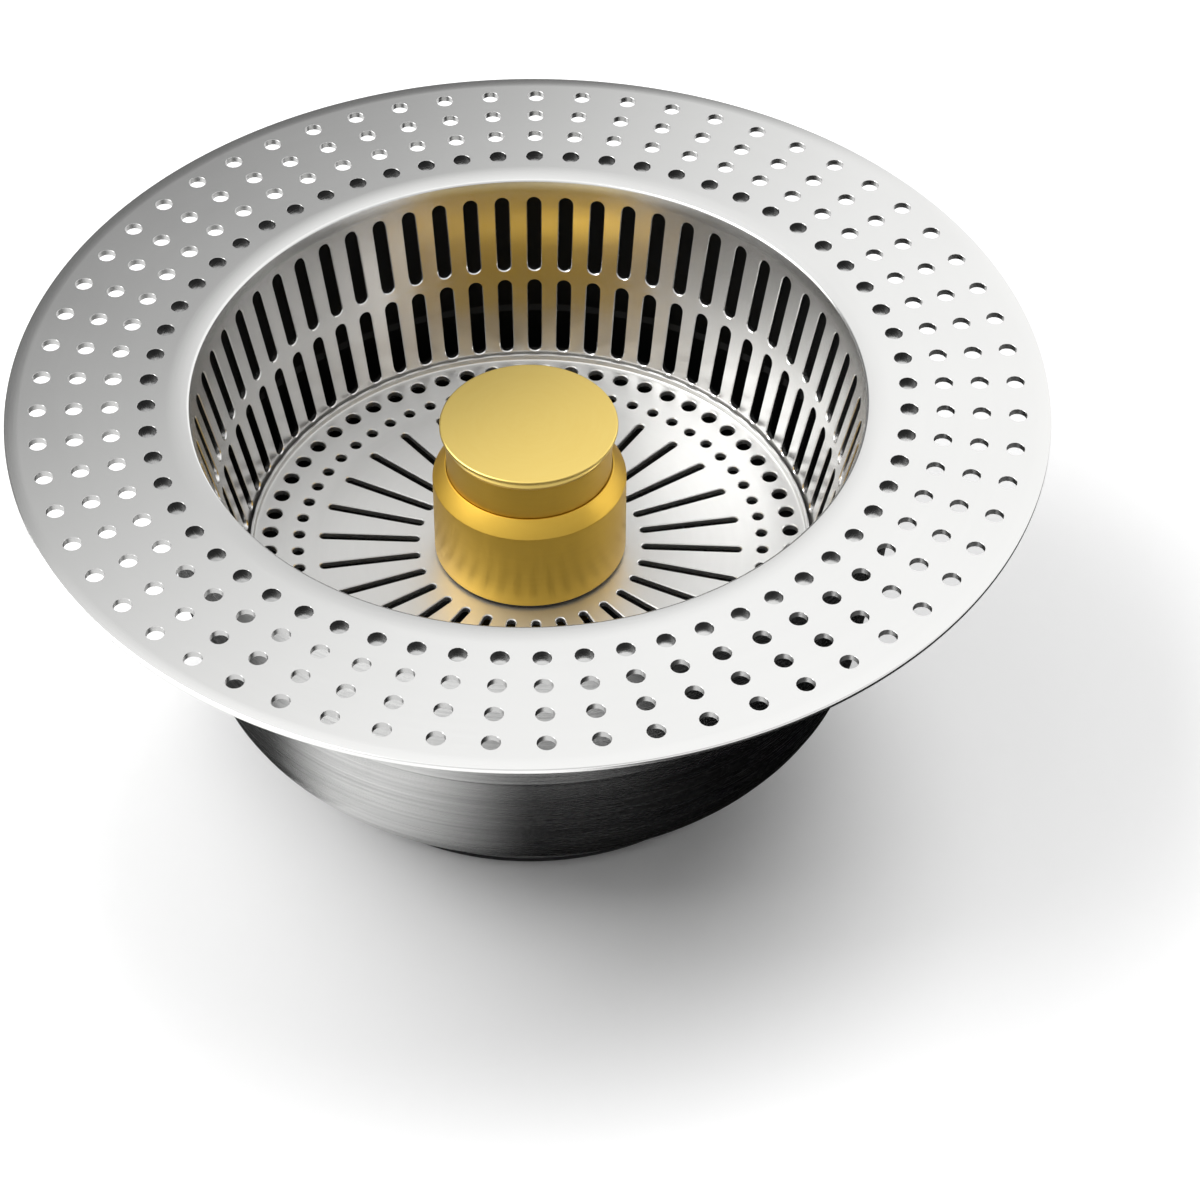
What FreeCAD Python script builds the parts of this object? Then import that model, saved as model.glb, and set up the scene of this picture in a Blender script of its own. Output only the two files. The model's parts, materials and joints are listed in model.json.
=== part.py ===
import FreeCAD, Part
import math
import os

from FreeCAD import Placement, Rotation, Vector

# Pop-up sink strainer: a lift-out perforated basket with a push-to-seal brass core, in a solid outer cup.
# Millimetres, +Z up. The origin is the centre of the foot's underside, on the axis that all pieces share.
# The knob is modelled up, so the outlet is open. Depths are measured down from the top of the flange.
# Radii are stacked from the stem outwards and heights from the foot upwards, each piece on the one that holds it.

# Whole part
total_height = 46.0
edge_round = 0.2
seat_gap = 0.02
running_gap = 0.08
cut_overrun = 2.0

# Flange plate
flange_sheet = 0.7
flange_radius = 57.0
hole_columns = 61
hole_diameter = 2.0
outer_ring_inset = 3.6
inner_ring_inset = 4.0
ring_pitch = 3.93
mouth_radius = 37.0
mouth_round = 0.9
mouth_lip_height = 1.5
rim_seat_gap = 0.4

# Basket wall
wall_sheet = 0.6
wall_draft = 5.0
slot_rows = 2
slot_width = 1.6
slot_top_depth = 2.1
slot_foot_rise = 1.1
slot_bridge = 1.0
ledge_width = 1.0

# Basket floor
floor_sheet = 0.7
floor_flat_inset = 7.0
floor_rise = 0.4
floor_rim_height = 0.7
floor_holes = 60
floor_outer_hole_inset = 2.3
floor_outer_hole_diameter = 1.8
floor_inner_hole_inset = 5.6
floor_inner_hole_diameter = 1.3
floor_slots = 30
floor_slot_start_gap = 1.85
floor_slot_end_gap = 0.9
floor_slot_width = 1.0

# Outer cup, foot ring and foot gasket
cup_sheet = 0.7
cup_gap = 4.3
cup_draft = 5.1
cup_lip_width = 1.7
band_depth = 20.6
band_draft = 1.9
band_step = 0.45
band_step_height = 0.6
cup_corner_round = 10.2
outlet_radius = 20.0
valve_seat_inset = 9.5
valve_seat_plate = 1.4
seat_round = 0.8
foot_height = 5.7
foot_radius = 28.5
foot_wall = 1.6
foot_gasket_height = 0.8
foot_gasket_inset = 0.2

# Brass core
press_travel = 4.0
press_reserve = 0.2
cap_overhang = 0.65
cap_height = 1.7
cap_top_round = 0.6
cap_low_round = 0.3
neck_wall = 1.5
neck_web = 1.3
neck_skirt = 8.0
core_wall = 1.52
core_chamfer_height = 1.8
core_land = 0.12
core_web = 2.8
core_gasket_height = 0.4
core_gasket_inset = 0.25
tail_wall = 1.6
tail_play = 0.5
tail_length = 6.8
neck_seal_wire_radius = 0.4
neck_seal_rise = 1.6

# Clamp under the floor
clamp_washer_width = 3.6
clamp_washer_height = 1.0
clamp_nut_wall = 3.0
clamp_nut_height = 4.0
clamp_nut_chamfer = 0.8

# Stem and its guides
stem_radius = 2.5
stem_collar_width = 1.4
stem_collar_height = 1.2
stem_spigot_wall = 0.6
stem_clear_length = 1.7
stud_radius = 1.5
stud_length = 4.5
thread_gap = 0.05
bush_length = 6.0
bush_flange_inset = 0.6
bush_flange_height = 0.8
stop_clip_width = 1.7
stop_clip_height = 0.6
stop_clip_groove = 0.4
stop_clip_mouth = 2.6
stop_gap = 0.1

# Click drum, its guide sleeve, pins and washer
drum_wall = 2.0
drum_margin = 1.8
drum_washer_inset = 0.5
drum_washer_height = 0.4
drum_play = 0.1
track_periods = 4
track_width = 1.6
track_depth = 0.95
pocket_relief = 0.1
press_turn = 20.0
latch_drop = 0.4
pin_count = 2
pin_radius = 0.55
pin_tip_gap = 0.1
sleeve_wall = 0.8
sleeve_foot_gap = 0.35
sleeve_foot_height = 0.8
sleeve_head = 1.5
drum_floor_gap = 0.3

# Return spring
spring_wire = 0.8
spring_inner_gap = 0.7
spring_outer_gap = 0.75
spring_turns = 5
spring_seat_gap = 0.05
arcs_per_turn = 4

# Stopper
stopper_seat_gap = 0.1
stopper_lap = 4.5
stopper_gasket_height = 1.8
stopper_lip_height = 0.5
stopper_lip_width = 2.2
stopper_plate_inset = 1.5
stopper_plate_sheet = 0.9
stopper_plate_rim = 1.4
retainer_radius = 16.0
retainer_sheet = 0.8
screw_head_radius = 2.8
screw_head_height = 1.5
screw_radius = 1.25
screw_length = 5.5
screw_slot_width = 0.7
screw_slot_depth = 0.6

# Angles and tolerances
full_turn = 360.0
column_phase = 90.0
floor_phase = -2.3
hex_sides = 6
point_tolerance = 1e-6

# Radii of the latch and the core, from the stem outwards
drum_bore_radius = stem_radius + drum_play
drum_radius = drum_bore_radius + drum_wall
drum_washer_radius = drum_radius - drum_washer_inset
sleeve_bore_radius = drum_radius + drum_play
sleeve_radius = sleeve_bore_radius + sleeve_wall
spring_radius = sleeve_radius + spring_inner_gap + spring_wire / 2
neck_bore_radius = spring_radius + spring_wire / 2 + spring_outer_gap
sleeve_foot_radius = neck_bore_radius - sleeve_foot_gap
neck_radius = neck_bore_radius + neck_wall
cap_radius = neck_radius + cap_overhang
bore_radius = neck_radius + running_gap
core_radius = bore_radius + core_wall
stem_collar_radius = stem_radius + stem_collar_width
tail_bore_radius = stem_collar_radius + tail_play
tail_radius = tail_bore_radius + tail_wall
bush_flange_radius = tail_radius - bush_flange_inset
stop_clip_radius = stem_radius + stop_clip_width
clamp_washer_radius = tail_radius + clamp_washer_width
clamp_nut_width = 2 * (tail_radius + clamp_nut_wall)

# Radii of the basket, the cup and the stopper
outer_ring_radius = flange_radius - outer_ring_inset
hole_rings = int((outer_ring_radius - mouth_radius - inner_ring_inset) / ring_pitch) + 1
wall_foot_radius = mouth_radius - wall_draft
floor_flat_radius = wall_foot_radius - floor_flat_inset
floor_outer_hole_radius = wall_foot_radius - floor_outer_hole_inset
floor_inner_hole_radius = wall_foot_radius - floor_inner_hole_inset
floor_slot_start = core_radius + floor_slot_start_gap
floor_slot_end = floor_flat_radius - floor_slot_end_gap
cup_top_radius = mouth_radius + wall_sheet + cup_gap
cup_lip_radius = cup_top_radius + cup_lip_width
band_foot_radius = cup_top_radius - band_draft
lower_wall_radius = band_foot_radius - band_step
cup_foot_radius = cup_top_radius - cup_draft
valve_seat_radius = cup_foot_radius - valve_seat_inset
stem_spigot_radius = screw_radius + thread_gap + stem_spigot_wall
stopper_gasket_radius = outlet_radius + stopper_lap
stopper_plate_radius = stopper_gasket_radius - stopper_plate_inset

# Levels from the foot up through the stopper to the floor
cup_under = foot_height
cup_seat = cup_under + cup_sheet
gasket_low = cup_seat + press_travel + stopper_seat_gap
gasket_top = gasket_low + stopper_gasket_height
plate_top = gasket_top + stopper_plate_sheet
retainer_low = gasket_low - retainer_sheet
screw_low = retainer_low - screw_head_height
stop_clip_low = plate_top + stem_clear_length
stop_clip_top = stop_clip_low + stop_clip_height
bush_under = stop_clip_top + stop_gap
tail_low = bush_under + bush_flange_height
housing_low = tail_low + tail_length
floor_top = housing_low - core_gasket_height
floor_under = floor_top - floor_sheet
brim_top = floor_top + floor_rise
brim_under = brim_top - floor_sheet
clamp_washer_low = floor_under - clamp_washer_height
clamp_nut_low = clamp_washer_low - clamp_nut_height

# Levels of the latch and the core
web_top = housing_low + core_web
drum_height = press_travel + drum_margin + drum_margin
drum_low = web_top + drum_floor_gap + press_travel
drum_top = drum_low + drum_height
pin_level = drum_low + drum_margin
sleeve_top = pin_level + sleeve_head
drum_washer_low = drum_low - drum_play / 2 - drum_washer_height
stem_collar_top = drum_washer_low - drum_play / 2
neck_ceiling = drum_top + drum_play
neck_low = neck_ceiling - neck_skirt
cap_low = neck_ceiling + neck_web
cap_top = cap_low + cap_height
housing_top = cap_low - press_travel - press_reserve
spring_low = web_top + sleeve_foot_height + spring_seat_gap
spring_high = neck_ceiling - spring_seat_gap

# Levels of the flange, the wall and the cup's band
flange_top = total_height
flange_under = flange_top - flange_sheet
lip_end = flange_top - mouth_lip_height
basket_depth = flange_top - floor_top
slot_run = basket_depth - slot_top_depth - slot_foot_rise - slot_bridge * (slot_rows - 1)
slot_length = slot_run / slot_rows
wall_taper = wall_draft / (flange_top - brim_top)
band_low = flange_top - band_depth
step_low = band_low - band_step_height
lower_taper = (lower_wall_radius - cup_foot_radius) / (step_low - cup_under)

origin = Vector(0, 0, 0)
up = Vector(0, 0, 1)


def corner_arc(before, corner, after, size):
    """Start, middle and end of the arc that rounds one corner of an outline."""
    to_before = (before - corner).normalize()
    to_after = (after - corner).normalize()
    half = to_before.getAngle(to_after) / 2
    reach = size / math.tan(half)
    bisector = (to_before + to_after).normalize()
    middle = corner + bisector * (size / math.sin(half) - size)
    return corner + to_before * reach, middle, corner + to_after * reach


def rounded_wire(corners):
    """Closed outline in the XZ plane through (radius, height, round) corners."""
    points = [Vector(radius, 0, height) for radius, height, size in corners]
    spans = []
    for index, (radius, height, size) in enumerate(corners):
        corner = points[index]
        if size > 0:
            after = points[(index + 1) % len(points)]
            spans.append(corner_arc(points[index - 1], corner, after, size))
        else:
            spans.append((corner, corner, corner))
    edges = []
    for index, (start, middle, end) in enumerate(spans):
        if corners[index][2] > 0:
            edges.append(Part.Arc(start, middle, end).toShape())
        following = spans[(index + 1) % len(spans)][0]
        if end.distanceToPoint(following) > point_tolerance:
            edges.append(Part.LineSegment(end, following).toShape())
    return Part.Wire(edges)


def revolved(corners):
    """Solid of revolution about the shared axis from (radius, height, round) corners."""
    solid = Part.Face(rounded_wire(corners)).revolve(origin, up, full_turn)
    if solid.Volume < 0:
        solid.reverse()
    return solid


def tube(outer, inner, low, high, size=0):
    """Ring of rectangular section, with its outer edges rounded."""
    return revolved([(outer, low, size), (outer, high, size), (inner, high, 0), (inner, low, 0)])


def cylinder(radius, low, high):
    """Upright cylinder on the shared axis."""
    return Part.makeCylinder(radius, high - low, Vector(0, 0, low))


def polar(shape, count, first=0.0):
    """Copies of a shape spaced evenly round the shared axis, from the angle first."""
    return [shape.rotated(origin, up, first + full_turn * index / count) for index in range(count)]


def stadium(length, width):
    """Flat slot with round ends, centred on the origin and long in X."""
    half = width / 2
    run = length / 2 - half
    upper = Part.LineSegment(Vector(-run, half, 0), Vector(run, half, 0))
    right = Part.Arc(Vector(run, half, 0), Vector(run + half, 0, 0), Vector(run, -half, 0))
    lower = Part.LineSegment(Vector(run, -half, 0), Vector(-run, -half, 0))
    left = Part.Arc(Vector(-run, -half, 0), Vector(-run - half, 0, 0), Vector(-run, half, 0))
    return Part.Face(Part.Wire([edge.toShape() for edge in (upper, right, lower, left)]))


def rectangle(length, width):
    """Flat rectangle centred on the origin and long in X."""
    return Part.makePlane(length, width, Vector(-length / 2, -width / 2, 0))


def radial_cutter(face, slope, near, far, height):
    """Cutter that points out along X, with the face's length climbing at the angle slope from the tangent."""
    along = Vector(0, math.cos(slope), math.sin(slope))
    across = Vector(0, -math.sin(slope), math.cos(slope))
    cutter = face.extrude(Vector(0, 0, far - near))
    cutter.Placement = Placement(Vector(near, 0, height), Rotation(along, across, Vector(1, 0, 0), "ZXY"))
    return cutter


def wall_inside(height):
    """Inner radius of the tapered basket wall at a height."""
    return mouth_radius - wall_taper * (flange_top - height)


def wall_outside(height):
    """Outer radius of the tapered basket wall at a height."""
    return wall_inside(height) + wall_sheet


def make_flange_plate():
    """Flat flange with rings of drainage holes and a short lip turned down into the mouth."""
    plate = revolved([
        (flange_radius, flange_under, edge_round),
        (flange_radius, flange_top, edge_round),
        (mouth_radius, flange_top, mouth_round),
        (wall_inside(lip_end), lip_end, 0),
        (wall_outside(lip_end), lip_end, 0),
        (wall_outside(flange_under), flange_under, edge_round),
        (cup_lip_radius + rim_seat_gap, flange_under, 0),
    ])
    drills = []
    for ring in range(hole_rings):
        radius = outer_ring_radius - ring * ring_pitch
        drill = cylinder(hole_diameter / 2, flange_under - cut_overrun, flange_top + cut_overrun)
        drill.translate(Vector(radius, 0, 0))
        drills += polar(drill, hole_columns, column_phase)
    return plate.cut(drills)


def make_basket_wall():
    """Tapered wall with rows of upright slots and an inturned ledge under the floor."""
    ledge_low = brim_under - wall_sheet
    ledge_radius = wall_inside(brim_under) - ledge_width
    wall = revolved([
        (wall_outside(lip_end), lip_end, 0),
        (wall_inside(lip_end), lip_end, 0),
        (wall_inside(brim_under), brim_under, 0),
        (ledge_radius, brim_under, 0),
        (ledge_radius, ledge_low, 0),
        (wall_outside(ledge_low), ledge_low, wall_sheet),
    ])
    reach = wall_sheet + slot_length * wall_taper + cut_overrun
    cutters = []
    for row in range(slot_rows):
        height = flange_top - slot_top_depth - slot_length / 2 - row * (slot_length + slot_bridge)
        middle = wall_inside(height)
        face = stadium(slot_length, slot_width)
        slot = radial_cutter(face, math.pi / 2, middle - reach, middle + reach, height)
        cutters += polar(slot, hole_columns, column_phase)
    return wall.cut(cutters)


def make_basket_floor():
    """Floor plate with a raised brim, two rings of holes and a ring of radial slots."""
    brim_radius = wall_inside(brim_under) - seat_gap
    rim_top = brim_top + floor_rim_height
    cone_end = wall_inside(brim_under) - ledge_width
    floor = revolved([
        (tail_radius + seat_gap, floor_under, 0),
        (floor_flat_radius, floor_under, 0),
        (cone_end, brim_under, 0),
        (brim_radius, brim_under, edge_round),
        (brim_radius, rim_top, 0),
        (brim_radius - floor_sheet / 2, rim_top, 0),
        (brim_radius - floor_sheet / 2, brim_top, edge_round),
        (cone_end, brim_top, 0),
        (floor_flat_radius, floor_top, 0),
        (tail_radius + seat_gap, floor_top, 0),
    ])
    low = floor_under - cut_overrun
    high = rim_top + cut_overrun
    cutters = []
    for radius, diameter in (
        (floor_outer_hole_radius, floor_outer_hole_diameter),
        (floor_inner_hole_radius, floor_inner_hole_diameter),
    ):
        drill = cylinder(diameter / 2, low, high)
        drill.translate(Vector(radius, 0, 0))
        cutters += polar(drill, floor_holes, floor_phase)
    slot = stadium(floor_slot_end - floor_slot_start, floor_slot_width).extrude(Vector(0, 0, high - low))
    slot.translate(Vector((floor_slot_start + floor_slot_end) / 2, 0, low))
    cutters += polar(slot, floor_slots, floor_phase)
    return floor.cut(cutters)


def make_outer_cup():
    """Drawn cup: flat lip, proud band, tapered wall, and a rounded bottom that opens round the valve seat."""
    lip_under = flange_under - cup_sheet
    inner_foot = cup_foot_radius + lower_taper * cup_sheet - cup_sheet
    return revolved([
        (cup_lip_radius, flange_under, edge_round),
        (cup_lip_radius, lip_under, 0),
        (cup_top_radius, lip_under, cup_sheet / 2),
        (band_foot_radius, band_low, edge_round),
        (lower_wall_radius, step_low, edge_round),
        (cup_foot_radius, cup_under, cup_corner_round),
        (valve_seat_radius + seat_gap, cup_under, 0),
        (valve_seat_radius + seat_gap, cup_seat, 0),
        (inner_foot, cup_seat, cup_corner_round - cup_sheet),
        (lower_wall_radius - cup_sheet, step_low, edge_round),
        (band_foot_radius - cup_sheet, band_low, edge_round),
        (cup_top_radius - cup_sheet, flange_under, cup_sheet),
    ])


def make_foot_ring():
    """Ring that the cup stands on, with the valve seat that fills the hole in the cup's bottom."""
    inner = foot_radius - foot_wall
    plate_under = cup_seat - valve_seat_plate
    return revolved([
        (foot_radius, foot_gasket_height, edge_round),
        (foot_radius, cup_under, edge_round),
        (valve_seat_radius, cup_under, 0),
        (valve_seat_radius, cup_seat, 0),
        (outlet_radius, cup_seat, seat_round),
        (outlet_radius, plate_under, 0),
        (inner, plate_under, 0),
        (inner, foot_gasket_height, 0),
    ])


def make_foot_gasket():
    """Flat rubber ring under the foot."""
    inner = foot_radius - foot_wall + foot_gasket_inset
    return tube(foot_radius - foot_gasket_inset, inner, 0, foot_gasket_height)


def make_core_housing():
    """Brass sleeve with a chamfered top, a web and a threaded tail that passes through the floor."""
    return revolved([
        (core_radius, housing_low, edge_round),
        (core_radius, housing_top - core_chamfer_height, edge_round),
        (bore_radius + core_land, housing_top, 0),
        (bore_radius, housing_top, 0),
        (bore_radius, web_top, 0),
        (tail_bore_radius, web_top, 0),
        (tail_bore_radius, tail_low, 0),
        (tail_radius, tail_low, edge_round),
        (tail_radius, housing_low, 0),
    ])


def make_core_gasket():
    """Thin washer between the sleeve and the floor."""
    return tube(core_radius - core_gasket_inset, tail_radius + seat_gap, floor_top, housing_low)


def make_knob_cap():
    """Round press cap with a threaded stud into the stem."""
    return revolved([
        (0, cap_top, 0),
        (0, neck_ceiling - stud_length, 0),
        (stud_radius, neck_ceiling - stud_length, edge_round),
        (stud_radius, cap_low, 0),
        (cap_radius, cap_low, cap_low_round),
        (cap_radius, cap_top, cap_top_round),
    ])


def make_knob_neck():
    """Sliding neck: a sleeve closed by a web under the cap, with a groove for its seal."""
    seal_level = neck_low + neck_seal_rise
    groove = neck_radius - neck_seal_wire_radius * 2
    half = neck_seal_wire_radius + running_gap
    return revolved([
        (neck_radius, cap_low, 0),
        (stud_radius + thread_gap, cap_low, 0),
        (stud_radius + thread_gap, neck_ceiling, 0),
        (neck_bore_radius, neck_ceiling, 0),
        (neck_bore_radius, neck_low, 0),
        (neck_radius, neck_low, edge_round),
        (neck_radius, seal_level - half, 0),
        (groove, seal_level - half, 0),
        (groove, seal_level + half, 0),
        (neck_radius, seal_level + half, 0),
    ])


def make_neck_seal():
    """Round rubber ring in the neck's groove."""
    middle = neck_radius + running_gap / 2 - neck_seal_wire_radius
    return Part.makeTorus(middle, neck_seal_wire_radius, Vector(0, 0, neck_low + neck_seal_rise))


def make_stem():
    """Turned rod with a collar under the drum, a clip groove and a spigot for the stopper."""
    screw_hole = screw_radius + thread_gap
    collar_low = stem_collar_top - stem_collar_height
    groove = stem_radius - stop_clip_groove
    return revolved([
        (stud_radius + thread_gap, neck_ceiling, 0),
        (stem_radius, neck_ceiling, 0),
        (stem_radius, stem_collar_top, 0),
        (stem_collar_radius, stem_collar_top, 0),
        (stem_collar_radius, collar_low, edge_round),
        (stem_radius, collar_low, 0),
        (stem_radius, stop_clip_top, 0),
        (groove, stop_clip_top, 0),
        (groove, stop_clip_low, 0),
        (stem_radius, stop_clip_low, 0),
        (stem_radius, plate_top, 0),
        (stem_spigot_radius, plate_top, 0),
        (stem_spigot_radius, gasket_low, 0),
        (screw_hole, gasket_low, 0),
        (screw_hole, retainer_low + screw_length + thread_gap, 0),
        (0, retainer_low + screw_length + thread_gap, 0),
        (0, neck_ceiling - stud_length - thread_gap, 0),
        (stud_radius + thread_gap, neck_ceiling - stud_length - thread_gap, 0),
    ])


def track_stops():
    """Turning points of one period of the track, as (angle, rise) from the rest pocket."""
    period = full_turn / track_periods
    return [
        (0, 0),
        (press_turn, press_travel),
        (period / 2, press_travel - latch_drop),
        (period - press_turn, press_travel),
        (period, 0),
    ]


def make_click_drum():
    """Drum with a zigzag track all round, in which the pins guide and latch the knob."""
    drum = tube(drum_radius, drum_bore_radius, drum_low, drum_top)
    near = drum_radius - track_depth
    far = drum_radius + cut_overrun
    stops = track_stops()
    cutters = []
    for (angle_a, rise_a), (angle_b, rise_b) in zip(stops, stops[1:]):
        run = drum_radius * math.radians(angle_b - angle_a)
        rise = rise_b - rise_a
        face = rectangle(math.hypot(run, rise), track_width)
        channel = radial_cutter(face, math.atan2(rise, run), near, far, pin_level + (rise_a + rise_b) / 2)
        pocket = Part.makeCylinder(
            track_width / 2 + pocket_relief, far - near, Vector(near, 0, pin_level + rise_a), Vector(1, 0, 0))
        cutters += polar(channel, track_periods, (angle_a + angle_b) / 2)
        cutters += polar(pocket, track_periods, angle_a)
    return drum.cut(cutters)


def make_drum_washer():
    """Thin washer between the drum and the stem's collar."""
    return tube(drum_washer_radius, drum_bore_radius, drum_washer_low, drum_washer_low + drum_washer_height)


def make_guide_sleeve():
    """Tube round the drum, with holes for the pins and a foot that seats the spring."""
    sleeve = revolved([
        (sleeve_foot_radius, web_top, 0),
        (sleeve_foot_radius, web_top + sleeve_foot_height, edge_round),
        (sleeve_radius, web_top + sleeve_foot_height, 0),
        (sleeve_radius, sleeve_top, edge_round),
        (sleeve_bore_radius, sleeve_top, 0),
        (sleeve_bore_radius, web_top, 0),
    ])
    drill = Part.makeCylinder(pin_radius + seat_gap, sleeve_radius, Vector(0, 0, pin_level), Vector(1, 0, 0))
    return sleeve.cut(polar(drill, pin_count))


def make_guide_pins():
    """Pins fixed in the sleeve, which reach into the drum's track."""
    tip = drum_radius - track_depth + pin_tip_gap
    pin = Part.makeCylinder(pin_radius, sleeve_radius - tip, Vector(tip, 0, pin_level), Vector(1, 0, 0))
    return Part.makeCompound(polar(pin, pin_count))


def tangent_arc(start, direction, end):
    """Arc that leaves start along direction and ends at end."""
    chord = end - start
    along = direction.dot(chord) / chord.Length
    side = direction - chord * (along / chord.Length)
    angle = math.atan2(side.Length, along)
    sag = chord.Length / 2 * math.tan(angle / 2)
    middle = start + chord * 0.5 + side.normalize() * sag
    return Part.Arc(start, middle, end).toShape()


def spring_point(turn):
    """Place and unit direction of the spring's centre line after a number of turns."""
    rise = spring_high - spring_low - spring_wire
    angle = 2 * math.pi * turn
    height = spring_low + spring_wire / 2 + rise * turn / spring_turns
    place = Vector(spring_radius * math.cos(angle), spring_radius * math.sin(angle), height)
    climb = rise / (2 * math.pi * spring_turns)
    direction = Vector(-spring_radius * math.sin(angle), spring_radius * math.cos(angle), climb)
    return place, direction.normalize()


def make_return_spring():
    """Coil spring round the guide sleeve, one wire on pairs of tangent arcs."""
    edges = []
    for index in range(spring_turns * arcs_per_turn):
        start, leave = spring_point(index / arcs_per_turn)
        end, arrive = spring_point((index + 1) / arcs_per_turn)
        span = end - start
        turned = 2 * (leave.dot(arrive) - 1)
        both = span.dot(leave + arrive)
        reach = (both - math.sqrt(both * both - turned * span.dot(span))) / turned
        middle = (start + end + (leave - arrive) * reach) * 0.5
        edges.append(tangent_arc(start, leave, middle))
        half_way = (end - arrive * reach - (start + leave * reach)).normalize()
        edges.append(tangent_arc(middle, half_way, end))
    place, direction = spring_point(0)
    section = Part.Wire([Part.Circle(place, direction, spring_wire / 2).toShape()])
    return Part.Wire(edges).makePipeShell([section], True, False)


def spring_least_gap():
    """Least clear distance between neighbouring turns of the spring."""
    pitch = (spring_high - spring_low - spring_wire) / spring_turns
    samples = [spring_point(index / (arcs_per_turn * arcs_per_turn))[0]
               for index in range(spring_turns * arcs_per_turn * arcs_per_turn + 1)]
    turn_step = arcs_per_turn * arcs_per_turn
    gaps = [(first - second).Length
            for index, first in enumerate(samples)
            for second in samples[index + turn_step // 2:]]
    return min(min(gaps), pitch) - spring_wire


def make_stem_bush():
    """Guide bush in the tail, with a flange that closes the tail's end."""
    bore = stem_radius + running_gap
    return revolved([
        (bore, bush_under, 0),
        (bush_flange_radius, bush_under, edge_round),
        (bush_flange_radius, tail_low, 0),
        (tail_bore_radius - seat_gap, tail_low, 0),
        (tail_bore_radius - seat_gap, tail_low + bush_length, edge_round),
        (bore, tail_low + bush_length, 0),
    ])


def make_clamp_washer():
    """Washer between the nut and the floor."""
    return tube(clamp_washer_radius, tail_radius + seat_gap, clamp_washer_low, floor_under, edge_round)


def make_clamp_nut():
    """Six-sided nut on the tail, with its corners chamfered."""
    corner = clamp_nut_width / 2 / math.cos(math.pi / hex_sides)
    points = []
    for index in range(hex_sides + 1):
        angle = 2 * math.pi * index / hex_sides
        points.append(Vector(corner * math.cos(angle), corner * math.sin(angle), clamp_nut_low))
    prism = Part.Face(Part.makePolygon(points)).extrude(Vector(0, 0, clamp_nut_height))
    envelope = revolved([
        (0, clamp_nut_low, 0),
        (corner - clamp_nut_chamfer, clamp_nut_low, 0),
        (corner, clamp_nut_low + clamp_nut_chamfer / 2, 0),
        (corner, clamp_washer_low, 0),
        (0, clamp_washer_low, 0),
    ])
    bore = cylinder(tail_radius + seat_gap, clamp_nut_low - cut_overrun, clamp_washer_low + cut_overrun)
    return prism.common(envelope).cut(bore)


def make_stop_clip():
    """Open clip in the stem's groove, which stops the lift under the bush."""
    inner = stem_radius - stop_clip_groove + seat_gap
    ring = tube(stop_clip_radius, inner, stop_clip_low, stop_clip_top)
    mouth = Part.makeBox(
        stop_clip_radius + cut_overrun, stop_clip_mouth, stop_clip_height + cut_overrun,
        Vector(0, -stop_clip_mouth / 2, stop_clip_low - cut_overrun / 2))
    return ring.cut(mouth)


def make_stopper_plate():
    """Steel disc with an upturned rim, which backs the gasket."""
    return revolved([
        (stem_spigot_radius + seat_gap, gasket_top, 0),
        (stopper_plate_radius, gasket_top, edge_round),
        (stopper_plate_radius, gasket_top + stopper_plate_rim, edge_round),
        (stopper_plate_radius - stopper_plate_sheet, gasket_top + stopper_plate_rim, edge_round),
        (stopper_plate_radius - stopper_plate_sheet, plate_top, edge_round),
        (stem_spigot_radius + seat_gap, plate_top, 0),
    ])


def make_stopper_gasket():
    """Rubber disc with a proud sealing lip round its edge."""
    face = gasket_low + stopper_lip_height
    return revolved([
        (stem_spigot_radius + seat_gap, gasket_low, 0),
        (retainer_radius, gasket_low, 0),
        (retainer_radius + stopper_lip_height, face, 0),
        (stopper_gasket_radius - stopper_lip_width - stopper_lip_height, face, 0),
        (stopper_gasket_radius - stopper_lip_width, gasket_low, 0),
        (stopper_gasket_radius, gasket_low, edge_round),
        (stopper_gasket_radius, gasket_top, edge_round),
        (stem_spigot_radius + seat_gap, gasket_top, 0),
    ])


def make_gasket_retainer():
    """Washer that holds the gasket to the plate."""
    return tube(retainer_radius, screw_radius + seat_gap, retainer_low, gasket_low, edge_round)


def make_stopper_screw():
    """Pan-head screw with a driving slot, up into the stem."""
    screw = revolved([
        (0, screw_low, 0),
        (screw_head_radius, screw_low, screw_head_height / 2),
        (screw_head_radius, retainer_low, 0),
        (screw_radius, retainer_low, 0),
        (screw_radius, retainer_low + screw_length, edge_round),
        (0, retainer_low + screw_length, 0),
    ])
    groove = Part.makeBox(
        screw_head_radius * 2 + cut_overrun, screw_slot_width, screw_slot_depth + cut_overrun,
        Vector(-screw_head_radius - cut_overrun / 2, -screw_slot_width / 2, screw_low - cut_overrun))
    return screw.cut(groove)


makers = {
    "outer_cup": make_outer_cup,
    "foot_ring": make_foot_ring,
    "foot_gasket": make_foot_gasket,
    "flange_plate": make_flange_plate,
    "basket_wall": make_basket_wall,
    "basket_floor": make_basket_floor,
    "core_housing": make_core_housing,
    "core_gasket": make_core_gasket,
    "clamp_washer": make_clamp_washer,
    "clamp_nut": make_clamp_nut,
    "guide_sleeve": make_guide_sleeve,
    "guide_pins": make_guide_pins,
    "stem_bush": make_stem_bush,
    "return_spring": make_return_spring,
    "knob_cap": make_knob_cap,
    "knob_neck": make_knob_neck,
    "neck_seal": make_neck_seal,
    "stem": make_stem,
    "drum_washer": make_drum_washer,
    "click_drum": make_click_drum,
    "stop_clip": make_stop_clip,
    "stopper_plate": make_stopper_plate,
    "stopper_gasket": make_stopper_gasket,
    "gasket_retainer": make_gasket_retainer,
    "stopper_screw": make_stopper_screw,
}

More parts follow.
